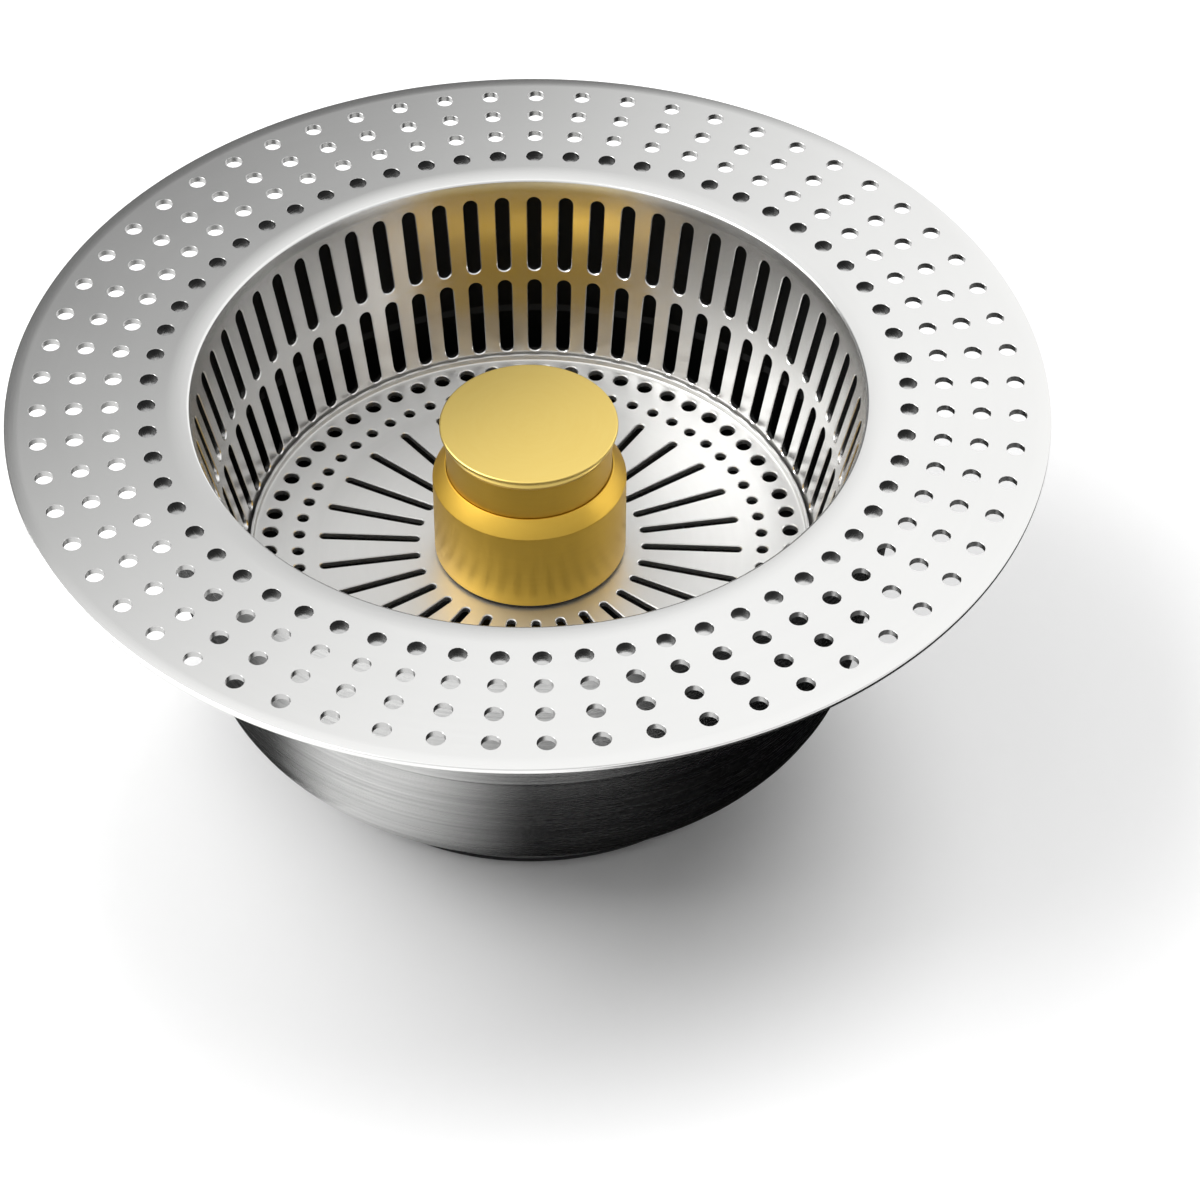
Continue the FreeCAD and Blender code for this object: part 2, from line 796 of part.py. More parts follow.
os.makedirs("parts", exist_ok=True)
for name, maker in makers.items():
    shape = maker()
    shape.exportStep("parts/" + name + ".step")
    print(name, "solids", len(shape.Solids), "valid", shape.isValid(), "volume", round(shape.Volume, 2))
print("least gap between spring turns", round(spring_least_gap(), 3))
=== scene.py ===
import json
import logging
import math
from dataclasses import dataclass, field
from enum import Enum
from typing import Any, ClassVar, Optional, Sequence

import bmesh
import bpy
from mathutils import Matrix, Vector


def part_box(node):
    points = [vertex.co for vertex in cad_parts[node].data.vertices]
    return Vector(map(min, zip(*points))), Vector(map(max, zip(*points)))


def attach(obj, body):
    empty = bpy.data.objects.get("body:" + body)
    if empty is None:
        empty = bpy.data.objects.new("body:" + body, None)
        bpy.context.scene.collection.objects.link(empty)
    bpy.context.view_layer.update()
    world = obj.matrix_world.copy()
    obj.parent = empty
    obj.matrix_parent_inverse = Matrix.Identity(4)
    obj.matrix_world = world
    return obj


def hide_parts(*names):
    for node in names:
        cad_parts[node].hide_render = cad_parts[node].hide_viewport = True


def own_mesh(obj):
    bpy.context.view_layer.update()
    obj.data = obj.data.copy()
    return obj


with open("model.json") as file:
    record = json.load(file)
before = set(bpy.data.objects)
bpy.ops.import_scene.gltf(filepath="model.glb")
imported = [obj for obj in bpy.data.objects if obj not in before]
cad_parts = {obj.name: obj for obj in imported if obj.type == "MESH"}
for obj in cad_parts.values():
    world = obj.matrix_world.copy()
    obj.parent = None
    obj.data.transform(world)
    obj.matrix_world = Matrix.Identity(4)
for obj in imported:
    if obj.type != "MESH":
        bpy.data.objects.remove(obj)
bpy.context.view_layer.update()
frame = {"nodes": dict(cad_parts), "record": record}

LOG = logging.getLogger("sink_strainer")

Colour = tuple[float, float, float]
Point = tuple[float, float]
Corner = tuple[float, float, float]
Sides = tuple[float, float, float, float]
Paint = tuple[float, float, float, float]

# The strainer's lengths are millimetres and its meshes are scaled to metres. The studio's lengths are metres.
MM = 0.001
MERGE = 0.000002
SLIVER = MERGE / 10.0
ON_AXIS = 0.000001
FULL_TURN = 2.0 * math.pi
SHARP_ANGLE = math.radians(34.0)
# Name of the face attribute of painted shade: marked faces are painted near-black, standing in for the shade
# inside the cup, on the stopper disc and in the flange's hole walls.
SHADE_ATTRIBUTE = "painted_shade"
UPWARD = 0.5

# Corner rounds and gaps that the pieces share
SHARP, CRISP, FINE, SOFT, EDGE, FULL = 0.0, 0.05, 0.10, 0.15, 0.20, 0.30
SEAT_GAP = 0.02

WHITE = (1.0, 1.0, 1.0, 1.0)


# Node trees


class Field:
    """One value in a node tree, with arithmetic that adds Math nodes."""

    def __init__(self, tree: "Tree", socket: bpy.types.NodeSocket) -> None:
        """Holds the socket and the tree that it belongs to."""
        self.tree = tree
        self.socket = socket

    def _math(self, operation: str, first: Any, second: Any = None) -> "Field":
        """Adds one Math node.

        Args:
            operation: the Math node's operation.
            first: the first value, a Field or a number.
            second: the second value, or None for an operation of one value.

        Returns:
            The node's result.
        """
        values = {0: first} if second is None else {0: first, 1: second}
        node = self.tree.node("ShaderNodeMath", values, operation=operation)
        return Field(self.tree, node.outputs[0])

    def __add__(self, other: Any) -> "Field":
        """Sum."""
        return self._math("ADD", self, other)

    def __sub__(self, other: Any) -> "Field":
        """Difference."""
        return self._math("SUBTRACT", self, other)

    def __rsub__(self, other: Any) -> "Field":
        """Difference, with the number first."""
        return self._math("SUBTRACT", other, self)

    def __mul__(self, other: Any) -> "Field":
        """Product."""
        return self._math("MULTIPLY", self, other)

    def __truediv__(self, other: Any) -> "Field":
        """Quotient."""
        return self._math("DIVIDE", self, other)

    def root(self) -> "Field":
        """Square root."""
        return self._math("SQRT", self)

    def ramp(self, low: float, high: float) -> "Field":
        """Smooth step of the value.

        Args:
            low: the value that gives 0.
            high: the value that gives 1.

        Returns:
            A mask from 0 to 1.
        """
        values = {"Value": self, "From Min": low, "From Max": high}
        node = self.tree.node("ShaderNodeMapRange", values, interpolation_type="SMOOTHSTEP")
        return Field(self.tree, node.outputs["Result"])


class Tree:
    """A node tree of any kind, with one method that adds a node."""

    def __init__(self, nodes: bpy.types.NodeTree) -> None:
        """Empties the tree that is given and holds it."""
        self.tree = nodes
        self.tree.nodes.clear()

    def node(self, kind: str, inputs: Optional[dict] = None, **settings: Any) -> bpy.types.Node:
        """Adds a node.

        Args:
            kind: the node's type.
            inputs: its sockets by name or number, each a Field, a socket or a plain value.
            settings: its settings, set before its sockets.

        Returns:
            The new node.
        """
        made = self.tree.nodes.new(kind)
        for key, value in settings.items():
            setattr(made, key, value)
        for key, value in (inputs or {}).items():
            if isinstance(value, Field):
                value = value.socket
            if isinstance(value, bpy.types.NodeSocket):
                self.tree.links.new(value, made.inputs[key])
            else:
                made.inputs[key].default_value = value
        return made

    def mix(self, share: Any, first: Any, second: Any) -> bpy.types.NodeSocket:
        """Mixes two colours.

        Args:
            share: how much of the second colour shows.
            first: a colour or a colour socket.
            second: a colour or a colour socket.

        Returns:
            The mixed colour's socket.
        """
        values = {0: share}
        for index, colour in ((6, first), (7, second)):
            values[index] = (*colour, 1.0) if isinstance(colour, tuple) else colour
        return self.node("ShaderNodeMix", values, data_type="RGBA").outputs[2]

    def shown(self) -> Field:
        """Finds the rays that show a background: to the camera, in gloss and through glass.

        Returns:
            A mask of them.
        """
        path = self.node("ShaderNodeLightPath").outputs
        seen = Field(self, path["Is Camera Ray"]) + Field(self, path["Is Glossy Ray"])
        return seen + Field(self, path["Is Transmission Ray"])

    def vector(self, x: Any, y: Any, z: Any) -> bpy.types.NodeSocket:
        """Vector from three values."""
        return self.node("ShaderNodeCombineXYZ", {0: x, 1: y, 2: z}).outputs[0]


class Surface(Tree):
    """A material's node tree, with the patterns that the finishes share."""

    AXIS_GUARD = 1e-9
    GRAIN_SLANT = 0.7
    GRAIN_DETAIL = 3.0
    GRAIN_ROUGH = 0.6

    def __init__(self, name: str) -> None:
        """Makes an empty material.

        Args:
            name: the material's name.
        """
        self.material = bpy.data.materials.new(name)
        self.material.use_nodes = True
        super().__init__(self.material.node_tree)
        self.place = self.node("ShaderNodeTexCoord").outputs["Object"]
        split = self.node("ShaderNodeSeparateXYZ", {0: self.place})
        self.x, self.y, self.z = (Field(self, split.outputs[index]) for index in range(3))
        self.radius = (self.x * self.x + self.y * self.y + self.AXIS_GUARD).root()

    def noise(self, vector: Any, scale: float, detail: float, rough: float) -> Field:
        """Noise from 0 to 1.

        Args:
            vector: the place that it is read at.
            scale: features to the metre.
            detail: octaves.
            rough: how much the finer octaves count.

        Returns:
            The noise.
        """
        made = self.node("ShaderNodeTexNoise", {
            "Vector": vector, "Scale": scale, "Detail": detail, "Roughness": rough})
        return Field(self, made.outputs[0])

    def cloud(self, size: float, detail: float = 2.0, rough: float = 0.5) -> Field:
        """Noise with features of a size in millimetres."""
        return self.noise(self.place, 1.0 / (size * MM), detail, rough)

    def round_grain(self, line: float, stretch: float) -> Field:
        """Grain that runs round the upright axis.

        Args:
            line: width of one grain line, in millimetres.
            stretch: how often the lines change on their way round.

        Returns:
            The grain, from 0 to 1.
        """
        along = self.vector(
            self.x / self.radius * stretch,
            self.y / self.radius * stretch,
            (self.radius * self.GRAIN_SLANT + self.z) / (line * MM),
        )
        return self.noise(along, 1.0, self.GRAIN_DETAIL, self.GRAIN_ROUGH)

    def bump(self, height: Any, strength: float, depth: float) -> bpy.types.NodeSocket:
        """Normal from a height.

        Args:
            height: the height, from 0 to 1.
            strength: share of the effect.
            depth: what a height of 1 stands for, in millimetres.

        Returns:
            The normal's socket.
        """
        made = self.node("ShaderNodeBump", {"Strength": strength, "Distance": depth * MM, "Height": height})
        return made.outputs["Normal"]

    def close(self, inputs: dict) -> bpy.types.Material:
        """Ends the tree in a Principled shader.

        Args:
            inputs: the shader's sockets.

        Returns:
            The material.
        """
        shader = self.node("ShaderNodeBsdfPrincipled", inputs)
        self.node("ShaderNodeOutputMaterial", {"Surface": shader.outputs[0]})
        return self.material


# Finishes


@dataclass(frozen=True)
class MetalFinish:
    """A metal with fine grain round the axis, faint handling marks, uneven gloss and, where a colour is given,
    painted shade on marked faces.
    """

    name: str
    colour: Colour
    shade: Colour
    roughness: float
    roughness_spread: float = 0.08
    grain_line: float = 0.09
    grain_stretch: float = 5.0
    grain_depth: float = 0.004
    grain_strength: float = 0.35
    streak_share: float = 0.4
    streak_width: float = 6.0
    streak_stretch: float = 0.6
    shade_share: float = 0.35
    handling: float = 0.15
    touch_size: float = 14.0
    touch_detail: float = 3.0
    touch_gloss: float = 0.3
    speck_size: float = 0.16
    speck_share: float = 0.2
    # Near-black colour painted on marked faces as shade, and the roughness that it adds there
    painted_shade: Optional[Colour] = None
    painted_shade_dullness: float = 0.3

    def material(self) -> bpy.types.Material:
        """Builds the material.

        Returns:
            The material.
        """
        surface = Surface(self.name)
        grain = surface.round_grain(self.grain_line, self.grain_stretch)
        streaks = surface.round_grain(
            self.grain_line * self.streak_width, self.grain_stretch * self.streak_stretch)
        touch = surface.cloud(self.touch_size, self.touch_detail)
        speck = surface.cloud(self.speck_size)
        wear = (streaks - 0.5) * self.streak_share + (touch - 0.5) * self.handling + self.shade_share
        colour = surface.mix(wear, self.colour, self.shade)
        gloss = (grain - 0.5) * self.roughness_spread + (touch - 0.5) * self.handling * self.touch_gloss
        gloss = gloss + self.roughness
        # Marked faces take the near-black colour and more roughness: painted shade
        if self.painted_shade:
            mark = surface.node("ShaderNodeAttribute", attribute_name=SHADE_ATTRIBUTE)
            inside = Field(surface, mark.outputs["Fac"])
            colour = surface.mix(inside, colour, self.painted_shade)
            gloss = gloss + inside * self.painted_shade_dullness
        height = grain * (1.0 - self.speck_share) + speck * self.speck_share
        return surface.close({
            "Base Color": colour,
            "Metallic": 1.0,
            "Roughness": gloss,
            "Normal": surface.bump(height, self.grain_strength, self.grain_depth),
        })


@dataclass(frozen=True)
class RubberFinish:
    """Moulded rubber: dull, faintly mottled, with a pale bloom."""

    name: str
    colour: Colour
    bloom: Colour
    bloom_share: float = 0.6
    bloom_fade: Point = (0.45, 0.85)
    roughness: float = 0.62
    roughness_spread: float = 0.25
    mottle_size: float = 2.5
    mottle_detail: float = 4.0
    mottle_rough: float = 0.6
    pore_size: float = 0.14
    pore_share: float = 0.6
    ring_line: float = 0.35
    ring_stretch: float = 0.8
    skin_strength: float = 0.4
    skin_depth: float = 0.02

    def material(self) -> bpy.types.Material:
        """Builds the material.

        Returns:
            The material.
        """
        surface = Surface(self.name)
        mottle = surface.cloud(self.mottle_size, self.mottle_detail, self.mottle_rough)
        rings = surface.round_grain(self.ring_line, self.ring_stretch)
        skin = surface.cloud(self.pore_size) * self.pore_share + rings * (1.0 - self.pore_share)
        bloom = mottle.ramp(*self.bloom_fade) * self.bloom_share
        return surface.close({
            "Base Color": surface.mix(bloom, self.colour, self.bloom),
            "Roughness": (mottle - 0.5) * self.roughness_spread + self.roughness,
            "Normal": surface.bump(skin, self.skin_strength, self.skin_depth),
        })


@dataclass(frozen=True)
class PlasticFinish:
    """Moulded plastic with a fine eggshell skin."""

    name: str
    colour: Colour
    shade: Colour
    shade_fade: Point = (0.3, 0.8)
    roughness: float = 0.42
    roughness_spread: float = 0.15
    cloud_size: float = 4.0
    cloud_detail: float = 3.0
    skin_size: float = 0.2
    skin_strength: float = 0.3
    skin_depth: float = 0.01

    def material(self) -> bpy.types.Material:
        """Builds the material.

        Returns:
            The material.
        """
        surface = Surface(self.name)
        cloud = surface.cloud(self.cloud_size, self.cloud_detail)
        return surface.close({
            "Base Color": surface.mix(cloud.ramp(*self.shade_fade), self.colour, self.shade),
            "Roughness": (cloud - 0.5) * self.roughness_spread + self.roughness,
            "Normal": surface.bump(surface.cloud(self.skin_size), self.skin_strength, self.skin_depth),
        })


class Finish(Enum):
    """The finishes that the pieces take, each with its recipe."""

    # The flange's marked hole walls are painted near-black: painted shade
    FLANGE = MetalFinish(
        "flange_satin_steel", (0.80, 0.80, 0.79), (0.74, 0.74, 0.73), 0.19, roughness_spread=0.05,
        painted_shade=(0.05, 0.05, 0.05))
    WALL = MetalFinish(
        "wall_satin_steel", (0.82, 0.81, 0.80), (0.72, 0.72, 0.71), 0.21, roughness_spread=0.06)
    FLOOR = MetalFinish("floor_satin_steel", (0.70, 0.70, 0.69), (0.60, 0.60, 0.59), 0.46)
    # The cup's marked inside is painted near-black: painted shade; the streaks are its brushing
    CUP = MetalFinish(
        "cup_brushed_steel", (0.80, 0.80, 0.79), (0.44, 0.44, 0.44), 0.25, roughness_spread=0.22,
        grain_line=0.10, grain_stretch=1.3, grain_depth=0.012, grain_strength=0.6, streak_share=1.6,
        painted_shade=(0.03, 0.03, 0.03))
    # The foot ring is lighter than the cup's steel: painted light that keeps it bright beside the dark
    # reflections; its higher roughness is its turned finish
    FOOT = MetalFinish(
        "foot_turned_steel", (0.86, 0.86, 0.85), (0.74, 0.74, 0.74), 0.42, roughness_spread=0.12,
        grain_line=0.10, grain_stretch=1.3, grain_depth=0.01, grain_strength=0.5)
    # The sleeve's brass and the cap's brass are one metal in two copies; this copy is deeper and darker:
    # painted shade for the sleeve's sides
    SHADED_BRASS = MetalFinish(
        "satin_brass", (0.73, 0.48, 0.08), (0.63, 0.38, 0.05), 0.45, roughness_spread=0.06, grain_line=0.07,
        grain_stretch=4.0, grain_strength=0.3)
    # The cap's copy is lighter and yellower: painted highlight for the cap's top, with a lower roughness
    LIT_CAP_BRASS = MetalFinish(
        "cap_brass_painted_highlight", (0.86, 0.66, 0.21), (0.80, 0.57, 0.14), 0.33, roughness_spread=0.06, grain_line=0.07,
        grain_stretch=4.0, grain_strength=0.3)
    TURNED = MetalFinish(
        "turned_steel", (0.62, 0.62, 0.61), (0.50, 0.50, 0.50), 0.32, roughness_spread=0.1, grain_line=0.14,
        grain_stretch=1.2, grain_depth=0.012, grain_strength=0.5)
    WIRE = MetalFinish(
        "drawn_spring_wire", (0.55, 0.55, 0.56), (0.44, 0.44, 0.45), 0.35, roughness_spread=0.1,
        grain_line=0.08, grain_stretch=1.0, grain_depth=0.006)
    RUBBER = RubberFinish("dark_rubber", (0.020, 0.020, 0.021), (0.055, 0.055, 0.056))
    PLASTIC = PlasticFinish("white_plastic", (0.84, 0.83, 0.80), (0.76, 0.75, 0.72))


class Workshop:
    """Makes each finish once and puts pieces in their places on the frame."""

    def __init__(self) -> None:
        """Reads which body and slot each node has."""
        record = frame["record"]
        self.body_of = {node: body for body, nodes in record["behaviour"]["bodies"].items() for node in nodes}
        self.slot_of = {row["node"]: row["material_slot"] for row in record["subparts"]}
        self.made: dict[Finish, bpy.types.Material] = {}

    def finish(self, kind: Finish) -> bpy.types.Material:
        """Makes a finish on its first use.

        Args:
            kind: the finish.

        Returns:
            Its material.
        """
        if kind not in self.made:
            self.made[kind] = kind.value.material()
        return self.made[kind]

    def place(self, piece: bpy.types.Object, node: str) -> None:
        """Lets a finished piece stand for a node and ride on its body.

        Args:
            piece: the piece, at the origin with its place in its mesh.
            node: the node that it replaces.
        """
        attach(piece, self.body_of[node])
        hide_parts(node)
        LOG.info("%s: %d faces on %s", piece.name, len(piece.data.polygons), self.body_of[node])

    def turn(self, node: str, name: str, kind: Finish, corners: Sequence[Corner], segments: int = 144,
             steps: int = 5, painted_shade_under: Optional[float] = None) -> None:
        """Turns a piece, finishes it and puts it in place.

        Args:
            node: the node that it replaces.
            name: the piece's name.
            kind: its finish.
            corners: (radius, height, round) corners of its closed outline.
            segments: spans round the axis.
            steps: spans in each rounded corner.
            painted_shade_under: the height under which its inward and upward faces take painted shade, or None.
        """
        piece = finished(name, turned(name, rounded(corners, steps), segments), self.finish(kind))
        if painted_shade_under is not None:
            mark_painted_shade(piece, painted_shade_under)
        self.place(piece, node)

    def dress(self, node: str, kind: Finish) -> None:
        """Gives a node that keeps its own shape a finish.

        Args:
            node: the node's name.
            kind: its finish.
        """
        piece = frame["nodes"][node]
        piece.data.materials.clear()
        piece.data.materials.append(self.finish(kind))
        LOG.info("%s: kept, %s", node, kind.name)


@dataclass(frozen=True)
class NodeSize:
    """Outer radius and end heights of a node, in millimetres, read from the frame."""

    radius: float
    low: float
    high: float

    @classmethod
    def of(cls, node: str) -> "NodeSize":
        """Reads a node's box."""
        low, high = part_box(node)
        return cls(high.x / MM, low.z / MM, high.z / MM)


# Turned pieces


def rounded(corners: Sequence[Corner], steps: int) -> list[Point]:
    """Outline with its corners rounded.

    Args:
        corners: (radius, height, round) corners of a closed outline.
        steps: spans in each rounded corner.

    Returns:
        (radius, height) points.
    """
    points: list[Point] = []
    count = len(corners)
    for index, (radius, height, size) in enumerate(corners):
        corner = Vector((radius, height))
        if size <= 0.0:
            points.append((radius, height))
            continue
        before = (Vector(corners[index - 1][:2]) - corner).normalized()
        after = (Vector(corners[(index + 1) % count][:2]) - corner).normalized()
        half = before.angle(after) / 2.0
        centre = corner + (before + after).normalized() * (size / math.sin(half))
        start = corner + before * (size / math.tan(half)) - centre
        end = corner + after * (size / math.tan(half)) - centre
        sweep = start.angle_signed(end)
        for step in range(steps + 1):
            turned = start.copy()
            turned.rotate(Matrix.Rotation(-sweep * step / steps, 2))
            points.append(tuple(centre + turned))
    return points


def turned(name: str, points: Sequence[Point], segments: int) -> bpy.types.Mesh:
    """Turns a closed outline about the upright axis.

    Args:
        name: the mesh's name.
        points: (radius, height) points of the outline.
        segments: spans round the axis.

    Returns:
        A closed mesh.
    """
    verts: list[Corner] = []
    rings: list[list[int]] = []
    for radius, height in points:
        if radius < ON_AXIS:
            rings.append([len(verts)] * segments)
            verts.append((0.0, 0.0, height * MM))
            continue
        rings.append(list(range(len(verts), len(verts) + segments)))
        for index in range(segments):
            angle = FULL_TURN * index / segments
            verts.append((radius * MM * math.cos(angle), radius * MM * math.sin(angle), height * MM))
    faces = []
    for ring, following in zip(rings, rings[1:] + rings[:1]):
        for place in range(segments):
            after = (place + 1) % segments
            face = list(dict.fromkeys((ring[place], ring[after], following[after], following[place])))
            if len(face) > 2:
                faces.append(face)
    mesh = bpy.data.meshes.new(name)
    mesh.from_pydata(verts, [], faces)
    return mesh


def mark_painted_shade(piece: bpy.types.Object, top: float) -> None:
    """Marks the faces of a turned piece that look inwards or upwards for painted shade, as a face attribute.

    Args:
        piece: the finished piece.
        top: the height that the marked faces stay under.
    """
    mark = piece.data.attributes.new(SHADE_ATTRIBUTE, "FLOAT", "FACE")
    for face in piece.data.polygons:
        out = face.normal.x * face.center.x + face.normal.y * face.center.y
        inside = (out < 0.0 or face.normal.z > UPWARD) and face.center.z < top * MM
        mark.data[face.index].value = float(inside)


def finished(name: str, mesh: bpy.types.Mesh, material: bpy.types.Material) -> bpy.types.Object:
    """Cleans a mesh and makes it an object.

    Args:
        name: the piece's name.
        mesh: its mesh, in metres and in place.
        material: its finish.

    Returns:
        The object, linked to the scene.
    """
    work = bmesh.new()
    work.from_mesh(mesh)
    bmesh.ops.remove_doubles(work, verts=work.verts, dist=MERGE)
    bmesh.ops.dissolve_degenerate(work, edges=work.edges, dist=SLIVER)
    bmesh.ops.recalc_face_normals(work, faces=work.faces)
    for face in work.faces:
        face.smooth = True
    work.to_mesh(mesh)
    work.free()
    mesh.set_sharp_from_angle(angle=SHARP_ANGLE)
    mesh.materials.clear()
    mesh.materials.append(material)
    piece = bpy.data.objects.new(name, mesh)
    bpy.context.scene.collection.objects.link(piece)
    return piece


# Perforated sheets


@dataclass(frozen=True)
class Station:
    """One step along a sheet's section, with a point on each face."""

    face: Point
    back: Point

    def between(self, other: "Station", share: float, depth: float) -> Point:
        """Point of the section between this step and another.

        Args:
            other: the next step.
            share: how far along, from 0 to 1.
            depth: how far from the face to the back, from 0 to 1.

        Returns:
            (radius, height).
        """
        face = Vector(self.face).lerp(Vector(other.face), share)
        back = Vector(self.back).lerp(Vector(other.back), share)
        return tuple(face.lerp(back, depth))

    def length(self, other: "Station") -> float:
        """Distance along the face to another step."""
        return (Vector(other.face) - Vector(self.face)).length


@dataclass(frozen=True)
class Hole:
    """A hole with round ends; its length runs along the section."""

    BEND_SPANS: ClassVar[int] = 2
    STRAIGHT_SPANS: ClassVar[int] = 2

    width: float
    length: float
    bevel: float = FINE
    # How much painted shade the hole's wall takes
    mark: float = 0.0

    def path(self, grow: float, across: int) -> list[Point]:
        """Outline of the hole.

        Args:
            grow: how far the outline is moved outwards.
            across: spans in each end quarter.

        Returns:
            (across, along) points from the hole's middle, starting at a lower corner.
        """
        radius = self.width / 2.0 + grow
        run = (self.length - self.width) / 2.0
        places: list[Point] = []
        bend = self.BEND_SPANS
        side = self.side_spans() - 2 * bend
        # Each row has a start angle, a turn, its spans and the way that the centre goes along the hole.
        for start, turn, spans, low, high in (
            (225.0, 90.0, across, -run, -run), (315.0, 45.0, bend, -run, -run), (360.0, 0.0, side, -run, run),
            (360.0, 45.0, bend, run, run), (405.0, 90.0, across, run, run), (495.0, 45.0, bend, run, run),
            (540.0, 0.0, side, run, -run), (540.0, 45.0, bend, -run, -run),
        ):
            for step in range(spans):
                angle = math.radians(start + turn * step / spans)
                centre = low + (high - low) * step / spans
                places.append((radius * math.cos(angle), centre + radius * math.sin(angle)))
        return places

    def side_spans(self) -> int:
        """Spans on each long side."""
        return 2 * self.BEND_SPANS + (self.STRAIGHT_SPANS if self.length > self.width else 0)


@dataclass
class SheetCell:
    """One sector of a sheet, made of plain strips and pierced bands."""

    verts: list[Corner] = field(default_factory=list)
    faces: list[list[int]] = field(default_factory=list)
    marks: list[float] = field(default_factory=list)

    def _point(self, place: Point, angle: float) -> int:
        """Adds a point.

        Args:
            place: its radius and height.
            angle: its angle from the X axis.

        Returns:
            Its number.
        """
        radius, height = place
        self.verts.append((radius * MM * math.cos(angle), radius * MM * math.sin(angle), height * MM))
        return len(self.verts) - 1

    def _join(self, first: Sequence[int], second: Sequence[int], closed: bool, mark: float = 0.0) -> None:
        """Bridges two rows of points.

        Args:
            first: one row.
            second: the other row, of the same length.
            closed: whether the rows are rings.
            mark: how much painted shade the faces take.
        """
        count = len(first)
        for index in range(count if closed else count - 1):
            after = (index + 1) % count
            self.faces.append([first[index], first[after], second[after], second[index]])
            self.marks.append(mark)

    def strip(self, places: Sequence[Point], middle: float, half: float, across: int) -> None:
        """Adds a plain strip through section points.

        Args:
            places: (radius, height) points along the section.
            middle: the strip's middle angle.
            half: half its angle.
            across: spans across it.
        """
        angles = [middle - half + 2.0 * half * step / across for step in range(across + 1)]
        rows = [[self._point(place, angle) for angle in angles] for place in places]
        for first, second in zip(rows, rows[1:]):
            self._join(first, second, False)

    def pierced(self, low: Station, high: Station, hole: Hole, middle: float, half: float, across: int,
                centre: float = 0.5) -> None:
        """Adds a band with one bevelled hole through it.

        Args:
            low: the band's first step.
            high: its last step.
            hole: the hole.
            middle: the band's middle angle.
            half: half its angle.
            across: spans across it.
            centre: where the hole's middle lies between the steps.
        """
        length = low.length(high)
        thick = (Vector(low.face) - Vector(low.back)).length
        side = hole.side_spans()
        border: list[Point] = [(-1.0 + 2.0 * step / across, 0.0) for step in range(across)]
        border += [(1.0, step / side) for step in range(side)]
        border += [(1.0 - 2.0 * step / across, 1.0) for step in range(across)]
        border += [(-1.0, 1.0 - step / side) for step in range(side)]

        def ring(path: Sequence[Point], depth: float) -> list[int]:
            """Adds a hole outline at a depth.

            Args:
                path: (across, along) points of the outline.
                depth: how far from the face to the back, from 0 to 1.

            Returns:
                The points' numbers.
            """
            row = []
            for over, along in path:
                share = centre + along / length
                reach = low.between(high, share, 0.0)[0]
                row.append(self._point(low.between(high, share, depth), middle + over / reach))
            return row

        def frame_ring(depth: float) -> list[int]:
            """Points of the band's border at a depth."""
            return [self._point(low.between(high, share, depth), middle + half * over)
                    for over, share in border]

        rows = [
            frame_ring(0.0),
            ring(hole.path(hole.bevel, across), 0.0),
            ring(hole.path(0.0, across), hole.bevel / thick),
            ring(hole.path(0.0, across), 1.0),
            frame_ring(1.0),
        ]
        # The hole's wall, between the bevel and the back, takes the hole's painted shade
        for first, second, mark in zip(rows, rows[1:], (0.0, 0.0, hole.mark, 0.0)):
            self._join(first, second, True, mark)

    def mesh(self, name: str) -> bpy.types.Mesh:
        """Makes the sector's mesh.

        Args:
            name: the mesh's name.

        Returns:
            The mesh, with the painted shade marks as a face attribute.
        """
        mesh = bpy.data.meshes.new(name)
        mesh.from_pydata(self.verts, [], self.faces)
        mesh.attributes.new(SHADE_ATTRIBUTE, "FLOAT", "FACE").data.foreach_set("value", self.marks)
        return mesh


class ShapeTree(Tree):
    """A Geometry Nodes tree with named inputs, baked to a plain mesh."""

    def __init__(self, name: str, inputs: dict[str, str]) -> None:
        """Makes an empty tree.

        Args:
            name: the tree's name.
            inputs: socket types by input name, the geometry apart.
        """
        group = bpy.data.node_groups.new(name, "GeometryNodeTree")
        group.interface.new_socket("Geometry", in_out="INPUT", socket_type="NodeSocketGeometry")
        group.interface.new_socket("Geometry", in_out="OUTPUT", socket_type="NodeSocketGeometry")
        self.names = {}
        for key, kind in inputs.items():
            self.names[key] = group.interface.new_socket(key, in_out="INPUT", socket_type=kind).identifier
        super().__init__(group)
        self.given = self.node("NodeGroupInput").outputs

    def value(self, name: str) -> Field:
        """A named input as a value."""
        return Field(self, self.given[name])

    def bake(self, name: str, mesh: bpy.types.Mesh, values: dict[str, Any]) -> bpy.types.Mesh:
        """Runs the tree on a mesh.

        Args:
            name: the baked mesh's name.
            mesh: the mesh that goes in.
            values: the tree's inputs by name.

        Returns:
            The plain mesh that comes out.
        """
        holder = bpy.data.objects.new(name + "_maker", mesh)
        bpy.context.scene.collection.objects.link(holder)
        modifier = holder.modifiers.new("shape", "NODES")
        modifier.node_group = self.tree
        for key, value in values.items():
            modifier[self.names[key]] = value
        holder.update_tag()
        made = bpy.data.meshes.new_from_object(holder.evaluated_get(bpy.context.evaluated_depsgraph_get()))
        made.name = name
        holder.modifiers.remove(modifier)
        bpy.data.objects.remove(holder)
        return made


